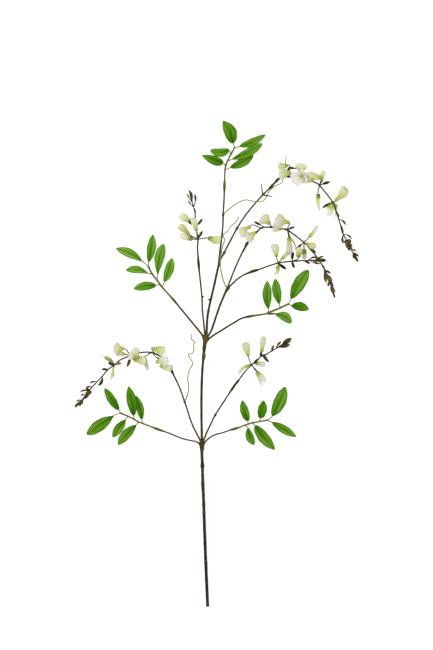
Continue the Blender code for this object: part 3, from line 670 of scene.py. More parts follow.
# Rows and columns of each kind of sheet
BLADE_ROWS, BLADE_COLUMNS = 44, 23
PETAL_ROWS, PETAL_COLUMNS = 19, 15
CALYX_ROWS, CALYX_COLUMNS = 9, 30

# Radii in millimetres, at the start and the end where there are two
FLOWER_STALK_RADII = (2.1, 2.0)
RACHIS_RADII = (1.95, 1.75)
TIP_RADII = (1.75, 1.2)
PRONG_RADII = (1.8, 1.3)
STUB_RADII = (2.2, 1.8)
TENDRIL_RADII = (1.6, 1.3)
LEAFLET_STALK_RADIUS = 1.2
PEDICEL_RADIUS = 1.4

BEND_PULL = 0.4  # how far a bend runs on before it turns, as a share of its reach
BARK_RELIEF = 0.06  # height of a stem's ridges and dents, as a share of its radius
BARK_RIDGES = (3, 5, 8)  # ridges round a stem, one set over the other
SCAR_LENGTH, SCAR_TAPER = 1.6, 14  # a ring scar's sharp lip, and the slow rise that leads up to it
BOUND_FOOT_SPREAD = 0.12  # where bound feet start, as a share of the way out from the middle
BOUND_FOOT_RUN = 7  # how far they run on past the point where their branch leaves
NODE_RISE, NODE_LENGTH = 0.35, 1.8  # the thickening where a leaflet's stalk leaves a rachis
KNOT_RISE, KNOT_LENGTH = 0.75, 3.2  # the same where florets leave a rachis
LEAFLET_STALK_INTO_BLADE = 1.5  # how far a leaflet's stalk runs into its blade

BLADE_VEINS = 8  # pressed veins to each side of a midrib
BLADE_POINT = 0.3  # least half width of a leaflet
BLADE_ARCH = 0.05  # rise of a leaflet's middle, as a share of its length
BLADE_FOLD = 0.2  # slope of each half up from the midrib
STREAK_STRETCH = 0.12  # how much the streaks in the print are drawn out along a blade
FOLDED_FOOT_STYLE = (2.4, 2.4, 0.5, 0.5, 0.8, 0.0, 0, 0.3, 0.0)

PETAL_FOOT, PETAL_SEAT = 0.3, 0.7  # where petals start: ahead of the calyx, and inside its wall
PETAL_EYE, PETAL_CLAW = 1.4, 3.2  # an upward floret's throat, and half a claw's least width
PETAL_POINT = 0.25  # least half width of a petal
PETAL_FRILL = 1.5  # height of the uneven points along a petal's end
KEEL_SHARE = 0.2  # a petal no longer than this share of its floret is a keel, and stays green
CALYX_TEETH = 5
CALYX_BACK = 2.6  # how far a cup's foot lies behind the calyx's middle
CALYX_THICKNESS = 0.4
CALYX_SHARE = 0.5  # a cup's radius is at most this share of its floret's width

BUD_FOOT_SLOPE = 0.09  # how a bud's thin foot grows as the bud gets slimmer
ROSETTE_FROM = 12.0  # an entry at least this wide is a cluster of buds
ROSETTE_REACH = 0.62  # the share of a cluster's axis that carries side buds
ROSETTE_LEAN = (62, 34)  # how far its lowest buds lean out, and how much less the highest do
GOLDEN_ANGLE = math.radians(137.5)

FLOOR_RADIUS, FLOOR_CORNERS = 30.0, 96
KEY_LIGHT = (1.6, (-1.2, 0.9, 2.2))  # size and place, in metres
FILL_LIGHT = (1.4, (1.4, -0.8, 2.0))
CAMERA_PLACE = (0.0, 0.0873, 12.261)
CAMERA_LENS, CAMERA_REACH = 300.0, 200.0

# Colours, as sRGB hex, from the darkest tone of each material to its palest
BARK_COLOURS = ("#100804", "#31220c", "#645026")
TWIG_COLOURS = ("#1f1508", "#4a3816", "#8a7040")
SLEEVE_COLOUR = "#646c1c"
# The palest leaf green is painted sheen, laid in bands beside the midrib
LEAF_COLOURS = ("#246200", "#559008", "#84b044")
LEAF_BACK_COLOUR = "#8aa562"
PETAL_COLOURS = ("#b0be5e", "#d9df8a", "#e8e8c2", "#efece8")
CALYX_COLOURS = ("#70831a", "#c4d668")
BUD_COLOURS = ("#120902", "#4c3e0a", "#948636")
TENDRIL_COLOURS = ("#768438", "#a2ac6a")
PAPER_COLOUR = "#fbfbfa"

# Roughness of each moulded plastic
BARK_ROUGHNESS, TWIG_ROUGHNESS = 0.62, 0.6
BUD_ROUGHNESS, WIRE_ROUGHNESS = 0.5, 0.5

# Patterns: width and depth of one mark in millimetres
STEM_GRAIN, STEM_GRAIN_DEPTH = 0.5, 0.15
BUD_GRAIN, BUD_GRAIN_DEPTH = 0.6, 0.1
WIRE_GRAIN, WIRE_GRAIN_DEPTH = 0.8, 0.05
PLASTIC_PATCH = 8.33  # one lighter or darker patch of a moulding
GRAIN_STRETCH = 0.12  # how much the moulded grain is drawn out along a stem
LEAF_WEAVE, LEAF_WEAVE_DEPTH, LEAF_STREAK = 0.8, 0.1, 3.03
PETAL_CRINKLE, PETAL_CRINKLE_DEPTH = 2.38, 0.15
CALYX_MOTTLE, CALYX_MOTTLE_DEPTH = 2.0, 0.1
NOISE_MIDDLE = 0.5  # the middle of a noise pattern's own range
MIX_SHARE, MIX_LOW, MIX_HIGH, MIX_RESULT = 0, 6, 7, 2  # sockets of a colour mix


def linear(hex_colour):
    """An sRGB hex colour as the linear numbers that Blender keeps."""
    shares = [int(hex_colour[k:k + 2], 16) / 255 for k in (1, 3, 5)]
    return tuple(x / 12.92 if x <= 0.04045 else ((x + 0.055) / 1.055) ** 2.4 for x in shares)


# ---------------------------------------------------------------- lines and shapes

class Shape:
    """Points in millimetres, faces that join them, and marks: numbers at each point that the
    materials read."""

    def __init__(self, points, faces, **marks):
        self.points, self.faces, self.marks = points, faces, marks


def as_points(*places):
    """Places as points that can be added and scaled."""
    return [np.array(place, float) for place in places]


def curve_through(route, step):
    """Points on a smooth curve through a route, and the number of the point at each waypoint."""
    knots = as_points(*route)
    ends = [2 * knots[0] - knots[1], *knots, 2 * knots[-1] - knots[-2]]
    points, at_waypoint = [knots[0]], [0]
    for before, a, b, after in zip(ends, ends[1:], ends[2:], ends[3:]):
        pieces = max(1, math.ceil(np.linalg.norm(b - a) / step))
        for k in range(1, pieces + 1):
            t = k / pieces
            points.append(
                0.5 * (2 * a + (b - before) * t + (2 * before - 5 * a + 4 * b - after) * t**2
                       + (3 * a - before - 3 * b + after) * t**3)
            )
        at_waypoint.append(len(points) - 1)
    return np.array(points), at_waypoint


def run_along(points):
    """How far along a line each of its points lies."""
    steps = np.linalg.norm(np.diff(points, axis=0), axis=1)
    return np.concatenate([[0.0], np.cumsum(steps)])


def unit(vector):
    return vector / np.linalg.norm(vector)


def frames_along(points):
    """Direction, side and top at each point of a line, turned as little as possible on the way."""
    ahead = np.gradient(points, axis=0)
    ahead /= np.linalg.norm(ahead, axis=1)[:, None]
    side = np.cross(ahead[0], (0.0, 0.0, 1.0))
    nearly_upright = 0.2
    if np.linalg.norm(side) < nearly_upright:
        side = np.cross(ahead[0], (0.0, 1.0, 0.0))
    sides = []
    for direction in ahead:
        side = unit(side - direction * side.dot(direction))
        sides.append(side)
    sides = np.array(sides)
    return ahead, sides, np.cross(sides, ahead)


def nearest_on(line, place):
    """The nearest point to a place on a line of closely spaced points."""
    return line[np.argmin(np.linalg.norm(line - place, axis=1))]


def bend(start, end, start_way, end_way, count):
    """A curve from start to end that leaves along start_way and arrives along end_way."""
    pull = np.linalg.norm(end - start) * BEND_PULL
    a, b = start + start_way * pull, end - end_way * pull
    t = np.linspace(0, 1, count)[:, None]
    return (1 - t)**3 * start + 3 * (1 - t)**2 * t * a + 3 * (1 - t) * t**2 * b + t**3 * end


def tube(points, radii, sides, tone, sleeve=None, blunt=0.5):
    """A closed tube through points. radii holds one size for all, for each ring or for each point
    of it. tone and sleeve hold one number for all or for each ring, and blunt is how far the ends
    stand out, as a share of their radius."""
    count = len(points)
    _, side, top = frames_along(points)
    radii = np.asarray(radii, float)
    radii = np.broadcast_to(radii.reshape(count, -1) if radii.size > 1 else radii, (count, sides))
    turn = np.linspace(0, 2 * math.pi, sides, endpoint=False)
    across, up = np.cos(turn) * radii, np.sin(turn) * radii
    rings = points[:, None] + side[:, None] * across[..., None] + top[:, None] * up[..., None]
    first = points[0] + unit(points[0] - points[1]) * radii[0].mean() * blunt
    last = points[-1] + unit(points[-1] - points[-2]) * radii[-1].mean() * blunt
    start_pole, end_pole, end_ring = count * sides, count * sides + 1, (count - 1) * sides
    faces = []
    for k in range(sides):
        after = (k + 1) % sides
        for low in range(0, end_ring, sides):
            high = low + sides
            faces.append((low + k, low + after, high + after, high + k))
        faces += [(start_pole, after, k), (end_pole, end_ring + k, end_ring + after)]
    run = run_along(points)
    grain = np.stack([across, up, np.repeat(run[:, None], sides, axis=1)], axis=-1).reshape(-1, 3)
    marks = {"grain": np.concatenate([grain, [(0, 0, 0), (0, 0, run[-1])]]) * MM}
    for name, mark in (("tone", tone), ("sleeve", sleeve)):
        if mark is not None:
            mark = np.broadcast_to(np.asarray(mark, float), count)
            marks[name] = np.concatenate([np.repeat(mark, sides), [mark[0], mark[-1]]])
    return Shape(np.concatenate([rings.reshape(-1, 3), [first, last]]), faces, **marks)


def sheet(grid, thickness, closed=False, **marks):
    """A thin closed solid from a grid of points on its face. closed joins the last column to the
    first. The mark "back" is 0 on the face and 1 behind it."""
    rows, columns = grid.shape[:2]
    if closed:
        wrapped = np.concatenate([grid[:, -1:], grid, grid[:, :1]], axis=1)
        across = np.gradient(wrapped, axis=1)[:, 1:-1]
    else:
        across = np.gradient(grid, axis=1)
    normals = np.cross(np.gradient(grid, axis=0), across)
    normals /= np.maximum(np.linalg.norm(normals, axis=2), 1e-9)[..., None]
    points = np.concatenate([part.reshape(-1, 3) for part in (grid, grid - normals * thickness)])
    behind, faces = rows * columns, []
    last = columns if closed else columns - 1
    for row in range(rows - 1):
        for k in range(last):
            a, b = row * columns + k, row * columns + (k + 1) % columns
            c, d = b + columns, a + columns
            faces += [(a, b, c, d), (behind + d, behind + c, behind + b, behind + a)]
    rim = []
    for k in range(last):
        for row in (0, rows - 1):
            rim.append((row * columns + k, row * columns + (k + 1) % columns))
    if not closed:
        for row in range(rows - 1):
            for k in (0, columns - 1):
                rim.append((row * columns + k, (row + 1) * columns + k))
    faces += [(a, b, behind + b, behind + a) for a, b in rim]
    both = {"back": np.repeat([0.0, 1.0], rows * columns)}
    for name, mark in marks.items():
        mark = np.broadcast_to(mark, (rows, columns, *np.shape(mark)[2:]))
        mark = mark.reshape(rows * columns, *mark.shape[2:])
        both[name] = np.concatenate([mark, mark])
    return Shape(points, faces, **both)


def smooth(share):
    """0 to 1 with level ends."""
    share = np.clip(share, 0.0, 1.0)
    return share * share * (3 - 2 * share)


def wander(run, rng, *wavelengths):
    """A slow, even wander between about -1 and 1 along a run. wavelengths are in millimetres."""
    waves = [np.sin(2 * math.pi * run / wave + rng.uniform(0, 2 * math.pi)) for wave in wavelengths]
    return sum(waves) / len(wavelengths)


def add_piece(name, shapes, material, slot, *nodes):
    """One object from shapes that may touch or pass into one another. It stands for CAD nodes."""
    points, faces, marks, start = [], [], {}, 0
    for shape in shapes:
        points.append(shape.points)
        faces += [tuple(corner + start for corner in face) for face in shape.faces]
        start += len(shape.points)
        for mark, values in shape.marks.items():
            marks.setdefault(mark, []).append(values)
    mesh = bpy.data.meshes.new(name)
    mesh.from_pydata(np.concatenate(points) * MM, [], faces)
    bm = bmesh.new()
    bm.from_mesh(mesh)
    bmesh.ops.recalc_face_normals(bm, faces=bm.faces)
    bm.to_mesh(mesh)
    bm.free()
    mesh.shade_smooth()
    for mark, values in marks.items():
        values = np.concatenate(values).astype(np.float32)
        kind, field = ("FLOAT_VECTOR", "vector") if values.ndim == 2 else ("FLOAT", "value")
        mesh.attributes.new(mark, kind, "POINT").data.foreach_set(field, values.ravel())
    mesh.materials.append(material)
    piece = bpy.data.objects.new(name, mesh)
    bpy.context.collection.objects.link(piece)
    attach(piece, BODY)
    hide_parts(*nodes)


# ---------------------------------------------------------------- materials

def join(tree, node, links):
    """Links a node's inputs to (node, output)."""
    for name, (source, output) in links.items():
        tree.links.new(source.outputs[output], node.inputs[name])


def add_node(tree, kind, values=None, links=None):
    """Adds a node, sets its inputs or its own settings by name, and links its inputs."""
    node = tree.nodes.new(kind)
    for name, value in (values or {}).items():
        if name == "stops":
            ramp = node.color_ramp
            while len(ramp.elements) < len(value):
                ramp.elements.new(0.5)
            for element, (position, colour) in zip(ramp.elements, value):
                element.position, element.color = position, (*colour, 1)
        elif isinstance(name, int) or name in node.inputs:
            node.inputs[name].default_value = value
        else:
            setattr(node, name, value)
    join(tree, node, links or {})
    return node


def new_material(name, **sockets):
    """A material with its Principled shader, whose even sockets are set directly."""
    material = bpy.data.materials.new(name)
    material.use_nodes = True
    shader = material.node_tree.nodes["Principled BSDF"]
    for socket, value in sockets.items():
        shader.inputs[socket.replace("_", " ")].default_value = value
    return material, material.node_tree, shader


def spaced(colours):
    """Colour stops at even distances."""
    return [(k / (len(colours) - 1), colour) for k, colour in enumerate(colours)]


def finish_surface(tree, shader, pattern, middle, stops, relief, swing, strength, depth, over=None):
    """Colours a surface by its mark "tone", which a pattern shifts up and down about its own
    middle by swing times its own range, and raises a relief that is depth millimetres high. over
    lays one more colour on it where another mark says so."""
    tone = add_node(tree, "ShaderNodeAttribute", {"attribute_name": "tone"})
    shift = add_node(tree, "ShaderNodeMath",
                     {"operation": "MULTIPLY_ADD", 1: swing, 2: -swing * middle}, {0: pattern})
    level = add_node(tree, "ShaderNodeMath", {"operation": "ADD"},
                     {0: (shift, 0), 1: (tone, "Fac")})
    ramp = add_node(tree, "ShaderNodeValToRGB", {"stops": stops}, {"Fac": (level, 0)})
    colour = (ramp, "Color")
    if over:
        mark, upper = over
        mask = add_node(tree, "ShaderNodeAttribute", {"attribute_name": mark})
        mix = add_node(tree, "ShaderNodeMix", {"data_type": "RGBA", MIX_HIGH: (*upper, 1)},
                       {MIX_SHARE: (mask, "Fac"), MIX_LOW: colour})
        colour = (mix, MIX_RESULT)
    bump = add_node(tree, "ShaderNodeBump", {"Strength": strength, "Distance": depth * MM},
                    {"Height": relief})
    join(tree, shader, {"Base Color": colour, "Normal": (bump, 0)})


def moulded_plastic(name, colours, roughness, grain_width, grain_depth, over=None):
    """Polyethylene from an injection mould, over a wire core: dull, a little waxy, with a fine
    lengthwise grain that the mould was etched with. The grain is drawn along each stem by its own
    marks. A real bark mould's grain is 0.2 to 0.4 mm wide, and it is drawn at 0.5 mm or more so
    that it can show."""
    material, tree, shader = new_material(
        name, IOR=1.51, Roughness=roughness, Specular_IOR_Level=0.2)
    grain = add_node(tree, "ShaderNodeAttribute", {"attribute_name": "grain"})
    drawn_out = add_node(tree, "ShaderNodeMapping", {"Scale": (1.0, 1.0, GRAIN_STRETCH)},
                         {"Vector": (grain, "Vector")})
    streaks = add_node(tree, "ShaderNodeTexNoise", {"Scale": 1 / (grain_width * MM), "Detail": 3.0},
                       {"Vector": (drawn_out, "Vector")})
    patches = add_node(tree, "ShaderNodeTexNoise",
                       {"Scale": 1 / (PLASTIC_PATCH * MM), "Detail": 2.0},
                       {"Vector": (grain, "Vector")})
    mottle = add_node(tree, "ShaderNodeMath", {"operation": "ADD"},
                      {0: (streaks, 0), 1: (patches, 0)})
    finish_surface(tree, shader, (mottle, 0), 2 * NOISE_MIDDLE, spaced(colours), (streaks, 0),
                   swing=0.45, strength=0.6, depth=grain_depth, over=over)
    return material


def printed_leaf_cloth(settings):
    """Satin-woven polyester, printed green, coated and heat-pressed into veins: a painted sheen of
    pale bands beside the midrib that stands for its soft gloss, a darker print along the midrib and
    a paler, matt back. The print has soft lengthwise streaks 2 to 4 mm wide. The weave is 0.25 mm
    in the real cloth and is drawn at 0.8 mm, so that it can show at all."""
    material, tree, shader = new_material(
        "printed_polyester_leaf_cloth", IOR=1.5, Specular_IOR_Level=0.05)
    grain = add_node(tree, "ShaderNodeAttribute", {"attribute_name": "grain"})
    place = add_node(tree, "ShaderNodeTexCoord")
    weave = add_node(tree, "ShaderNodeTexNoise", {"Scale": 1 / (LEAF_WEAVE * MM), "Detail": 1.0},
                     {"Vector": (place, "Object")})
    streaks = add_node(tree, "ShaderNodeTexNoise", {"Scale": 1 / (LEAF_STREAK * MM), "Detail": 3.0},
                       {"Vector": (grain, "Vector")})
    weave_share = 0.25
    print_tone = add_node(tree, "ShaderNodeMath", {"operation": "MULTIPLY_ADD", 1: weave_share},
                          {0: (weave, 0), 2: (streaks, 0)})
    # The palest stop is painted sheen: the pale green of the bands where the gloss would shine
    stops = list(zip((0.0, 0.45, 1.0), (settings.midrib, settings.blade, settings.painted_sheen)))
    finish_surface(tree, shader, (print_tone, 0), (1 + weave_share) * NOISE_MIDDLE, stops,
                   (weave, 0), swing=1.0, strength=0.25, depth=LEAF_WEAVE_DEPTH,
                   over=("back", linear(LEAF_BACK_COLOUR)))
    back = add_node(tree, "ShaderNodeAttribute", {"attribute_name": "back"})
    roughness = add_node(tree, "ShaderNodeMapRange", {"To Min": 0.42, "To Max": 0.7},
                         {"Value": (back, "Fac")})
    join(tree, shader, {"Roughness": (roughness, 0)})
    return material


def dyed_petal_cloth(settings):
    """Thin polyester chiffon, stiffened, cut hot and dip-dyed from the foot: yellow green where it
    leaves the calyx, cream further out and a cool white at the thin edge, quite matt, with light
    passing into it. Its crinkles are 1 to 2.4 mm apart."""
    material, tree, shader = new_material(
        "dyed_polyester_petal_cloth", IOR=1.45, Roughness=0.75, Sheen_Weight=0.2,
        Sheen_Roughness=0.5, Subsurface_Weight=0.25, Subsurface_Scale=0.002,
        Subsurface_Radius=(1.0, 1.0, 0.8))
    place = add_node(tree, "ShaderNodeTexCoord")
    crinkle = add_node(tree, "ShaderNodeTexNoise",
                       {"Scale": 1 / (PETAL_CRINKLE * MM), "Detail": 2.0},
                       {"Vector": (place, "Object")})
    colours = (settings.foot, settings.middle, settings.cream, settings.edge)
    stops = list(zip((0.0, 0.3, 0.62, 1.0), colours))
    finish_surface(tree, shader, (crinkle, 0), NOISE_MIDDLE, stops, (crinkle, 0),
                   swing=0.2, strength=0.3, depth=PETAL_CRINKLE_DEPTH)
    return material


def calyx_plastic(settings):
    """Soft polyethylene, moulded in lime green: waxy and slightly clear at the thin teeth, with
    flow marks about 2 mm wide."""
    material, tree, shader = new_material(
        "moulded_polyethylene_calyx", IOR=1.51, Roughness=0.5, Subsurface_Weight=0.2,
        Subsurface_Scale=0.002, Subsurface_Radius=(1.0, 1.0, 0.8))
    place = add_node(tree, "ShaderNodeTexCoord")
    mottle = add_node(tree, "ShaderNodeTexNoise", {"Scale": 1 / (CALYX_MOTTLE * MM), "Detail": 2.0},
                      {"Vector": (place, "Object")})
    stops = spaced([settings.calyx_dark, settings.calyx_light])
    finish_surface(tree, shader, (mottle, 0), NOISE_MIDDLE, stops, (mottle, 0),
                   swing=0.4, strength=0.3, depth=CALYX_MOTTLE_DEPTH)
    return material


def studio_paper(settings):
    """Matt coated background paper, lit so that it reads as plain near white."""
    return new_material(
        "coated_paper_floor", Roughness=0.9, Specular_IOR_Level=0.0,
        Base_Color=(*settings.paper, 1), Emission_Color=(1, 1, 1, 1),
        Emission_Strength=settings.glow)[0]


# ---------------------------------------------------------------- stems

def tapered(run, radii, swell_at=()):
    """The radius along a run: an even taper with a smooth swelling at each (place, radius, half
    length)."""
    sizes = np.interp(run, (0.0, run[-1]), radii)
    for place, fat, half_length in swell_at:
        away = np.minimum(np.abs(run - place) / half_length, 1)
        sizes = sizes + (fat - sizes) * (1 + np.cos(math.pi * away)) / 2
    return sizes


def swell_places(run, at_waypoint, swellings):
    """Swellings that are given by waypoint, as (place along the run, radius, half length)."""
    return [(run[at_waypoint[k]], *sizes) for k, sizes in swellings.items()]


def bark_stem(route, radii, swellings, details, rng):
    """A moulded stem: low lengthwise ridges, ring scars at knots and wound tape at wraps."""
    knots, wraps, tones, greens = details
    points, at_waypoint = curve_through(route, STEM_STEP)
    run = run_along(points)
    sizes = tapered(run, radii, swell_places(run, at_waypoint, swellings))
    turn = np.linspace(0, 2 * math.pi, STEM_SIDES, endpoint=False)
    skin = np.repeat(sizes[:, None], STEM_SIDES, axis=1)

    # Lengthwise ridges, which drift round the stem and fade in and out, and shallow dents
    for ridges in BARK_RIDGES:
        drift = wander(run, rng, 34, 57)[:, None] * 1.6
        skin *= 1 + BARK_RELIEF / 2 * np.cos(ridges * turn + drift + rng.uniform(0, 6)) * (
            0.6 + 0.4 * wander(run, rng, 21, 13)[:, None])
    skin *= 1 + BARK_RELIEF * 0.6 * wander(run, rng, 17, 29, 46)[:, None]

    # Ring scars: a slow rise up to a sharp lip, which stands out more on one side
    for place, height in knots:
        facing = rng.uniform(0, 2 * math.pi)
        rise = 0.5 * smooth((run - place + SCAR_TAPER) / SCAR_TAPER) * (run < place)
        lip = np.exp(-((run - place) / SCAR_LENGTH)**2) + rise
        skin += height * lip[:, None] * (0.75 + 0.25 * np.cos(turn - facing))

    # Wound tape: one low step for each turn round the stem
    for start, end, pitch, height in wraps:
        inside = smooth((run - start) / 4) * smooth((end - run) / 4)
        wound = (run[:, None] / pitch + turn / (2 * math.pi)) % 1.0
        skin += height * inside[:, None] * (1 - wound)

    tone = np.interp(run, *zip(*tones)) + 0.12 * wander(run, rng, 15, 31, 9)
    green = np.interp(run, *zip(*greens)) + 0.15 * wander(run, rng, 23, 12)
    return tube(points, skin, STEM_SIDES, np.clip(tone, 0, 1), sleeve=np.clip(green, 0, 1),
                blunt=0.1)


def stubs(name, rng):
    """The short stubs that were left where side shoots were cut off."""
    shapes = []
    for foot, tip in STUBS.get(name, []):
        foot, tip = as_points(foot, tip)
        line = bend(foot, tip, unit(tip - foot), unit(tip - foot), STUB_RINGS)
        tone = 0.3 + 0.1 * rng.uniform(-1, 1)
        shapes.append(tube(line, np.linspace(*STUB_RADII, STUB_RINGS), STUB_SIDES, tone, sleeve=0,
                           blunt=0.6))
    return shapes


def joint_tails(neck, radius, starts, rng):
    """The feet of the branches, bundled round the stem below a joint and taped down."""
    shapes = []
    neck = np.array(neck, float)
    for place, way in starts:
        place, way = as_points(place, way)
        way = unit(way)
        foot = neck + (place - neck) * BOUND_FOOT_SPREAD
        line = bend(foot, place + way * BOUND_FOOT_RUN, unit(place - neck), way, BOUND_FOOT_RINGS)
        share = np.linspace(0, 1, BOUND_FOOT_RINGS)
        sizes = radius * np.interp(share, (0, 0.2, 0.6, 1), (0.5, 1.0, 1.1, 0.75))
        tone = 0.55 + 0.3 * rng.uniform(-1, 1)
        green = 0.2 + 0.15 * rng.uniform(-1, 1)
        shapes.append(tube(line, sizes, BOUND_FOOT_SIDES, tone, sleeve=green, blunt=0.8))
    return shapes


# ---------------------------------------------------------------- leaves

def leaf_stalk(route, radii, swellings, leaflets, rng):
    """A leaf's stalk and rachis with a short tan stalk to the foot of each leaflet."""
    points, at_waypoint = curve_through(route, TWIG_STEP)
    run = run_along(points)
    sizes = tapered(run, radii, swell_places(run, at_waypoint, swellings))
    joints = [nearest_on(points, joint) for joint, *_ in leaflets]
    for joint in joints:
        away = np.linalg.norm(points - joint, axis=1)
        sizes = sizes + NODE_RISE * np.exp(-(away / NODE_LENGTH)**2)
    sizes = sizes * (1 + 0.03 * wander(run, rng, 19, 31))
    plug = run[at_waypoint[max(swellings)]]
    tone = np.interp(run, (0, plug, plug + 25, run[-1]), (0.35, 0.45, 0.75, 0.9))
    tone = tone + 0.1 * wander(run, rng, 23, 41)
    green = np.interp(run, (plug - 14, plug, plug + 16, plug + 34), (0.0, 0.9, 0.9, 0.75))
    shapes = [tube(points, sizes, TWIG_SIDES, tone, sleeve=green, blunt=0.4)]
    for joint, (_, foot, tip) in zip(joints, leaflets):
        foot, tip = as_points(foot, tip)
        away = unit(tip - foot)
        end = foot + away * LEAFLET_STALK_INTO_BLADE
        line = bend(joint, end, unit(foot - joint), away, LEAFLET_STALK_RINGS)
        shapes.append(tube(line, LEAFLET_STALK_RADIUS, LEAFLET_STALK_SIDES, 0.9, sleeve=0.6))
    return shapes


def corners_of(node):
    """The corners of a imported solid, in millimetres."""
    return np.array([corner.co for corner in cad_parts[node].data.vertices]) / MM


def blade_axis(node, stalk_node):
    """Foot and tip of a packed leaflet. The foot is the end that is nearer to its stalk."""
    points, stalk = corners_of(node), corners_of(stalk_node)
    middle = points.mean(axis=0)
    along = (points - middle) @ np.linalg.svd(points - middle)[2][0]
    near_ends = (along <= along.min() + 1, along >= along.max() - 1)
    ends = [points[near].mean(axis=0) for near in near_ends]
    return sorted(ends, key=lambda end: np.linalg.norm(stalk - end, axis=1).min())


def leaflet_blade(foot, tip, thickness, style, rng):
    """A pressed cloth blade: folded up along its midrib, each half pillowed between its veins."""
    left, right, widest, foot_power, tip_power, bow, painted_sheen_side, painted_sheen, lightness = style
    length = np.linalg.norm(tip - foot)
    ahead = (tip - foot) / length
    side = unit(np.cross(ahead, (0, 0, 1)))
    top = np.cross(side, ahead)
    rise = np.linspace(0, 1, BLADE_ROWS)
    along = (0.4 * rise + 0.6 * (1 - np.cos(math.pi * rise)) / 2)[:, None]
    across = np.linspace(1, -1, BLADE_COLUMNS)[None, :]

    # Outline: half the width at each row, with a slightly wavy edge
    low = np.sin(math.pi / 2 * np.minimum(along / widest, 1)) ** foot_power
    high = np.sin(math.pi / 2 * np.minimum((1 - along) / (1 - widest), 1)) ** tip_power
    wave = 1 + 0.025 * np.sin(2 * math.pi * (3.1 * along + rng.uniform()) + 2 * np.sign(across))
    half = np.where(across > 0, right, left) * np.minimum(low, high) * wave
    half = np.maximum(half, BLADE_POINT)
    aside = across * half
    reach = np.abs(aside)

    # Relief: arched lengthwise, folded up from the midrib, pillowed, wavy at the edges and a
    # little twisted, with the midrib and the veins pressed in
    veins = (0.5 + 0.5 * np.cos(2 * math.pi * BLADE_VEINS * (along - 0.9 * reach / length))) ** 4
    veins = veins * smooth((1 - np.abs(across)) / 0.15) * smooth(along / 0.1)
    rib = np.exp(-(aside / 0.8)**2)
    height = (
        BLADE_ARCH * length * np.sin(math.pi * along)
        + BLADE_FOLD * np.sqrt(reach**2 + 0.4)
        + 0.09 * half * np.sin(math.pi * np.abs(across))
        + 0.03 * half * across**2 * np.sin(
            2 * math.pi * (2.2 * along + rng.uniform()) + 1.5 * across)
        - 0.25 * veins - 0.5 * rib
        + aside * 0.12 * rng.uniform(-1, 1) * (2 * along - 1)
    )
    sideways = aside + bow * np.sin(math.pi * along**0.9)
    grid = (foot + ahead * length * along[..., None] + side * sideways[..., None]
            + top * height[..., None])

    # Painted sheen: pale bands beside the midrib where the cloth's gloss would catch the light,
    # full on the side given as shining and weak on the other. Print: darker towards the midrib's
    # foot, at the veins and at the rim
    lit = 1.0 if painted_sheen_side == 0 else np.where(across * painted_sheen_side >= 0, 1.0, 0.25)
    painted_sheen_band = painted_sheen * lit * np.exp(-((np.abs(across) - 0.48) / 0.24)**2)
    painted_sheen_band = painted_sheen_band * smooth(along / 0.35) * smooth((1 - along) / 0.25)
    dark = np.exp(-(aside / (0.10 * (left + right)))**2) * (1 - 0.95 * along)
    rim = np.abs(across)**8
    tone = (0.46 + lightness + 0.28 * (along - 0.4) + 0.32 * painted_sheen_band - 0.28 * dark - 0.10 * veins
            - 0.42 * rim)
    streak = np.stack(np.broadcast_arrays(
        aside, along * length * STREAK_STRETCH, 0 * aside + rng.uniform(0, 900)), axis=-1)
    return sheet(grid, thickness, tone=np.clip(tone, 0, 1), grain=streak * MM)


# ---------------------------------------------------------------- florets

def floret_axes(calyx, end, kind, turn):
    """Way ahead, side and top of a floret that is turned about its own axis, in degrees."""
    ahead, top = unit(end - calyx), np.array([0, 0, 1.0])
    if kind in FACING_UP:
        ahead, top = top, ahead
    top = unit(top - ahead * top.dot(ahead))
    side = np.cross(ahead, top)
    angle = math.radians(turn)
    top = top * math.cos(angle) + side * math.sin(angle)
    return ahead, np.cross(ahead, top), top


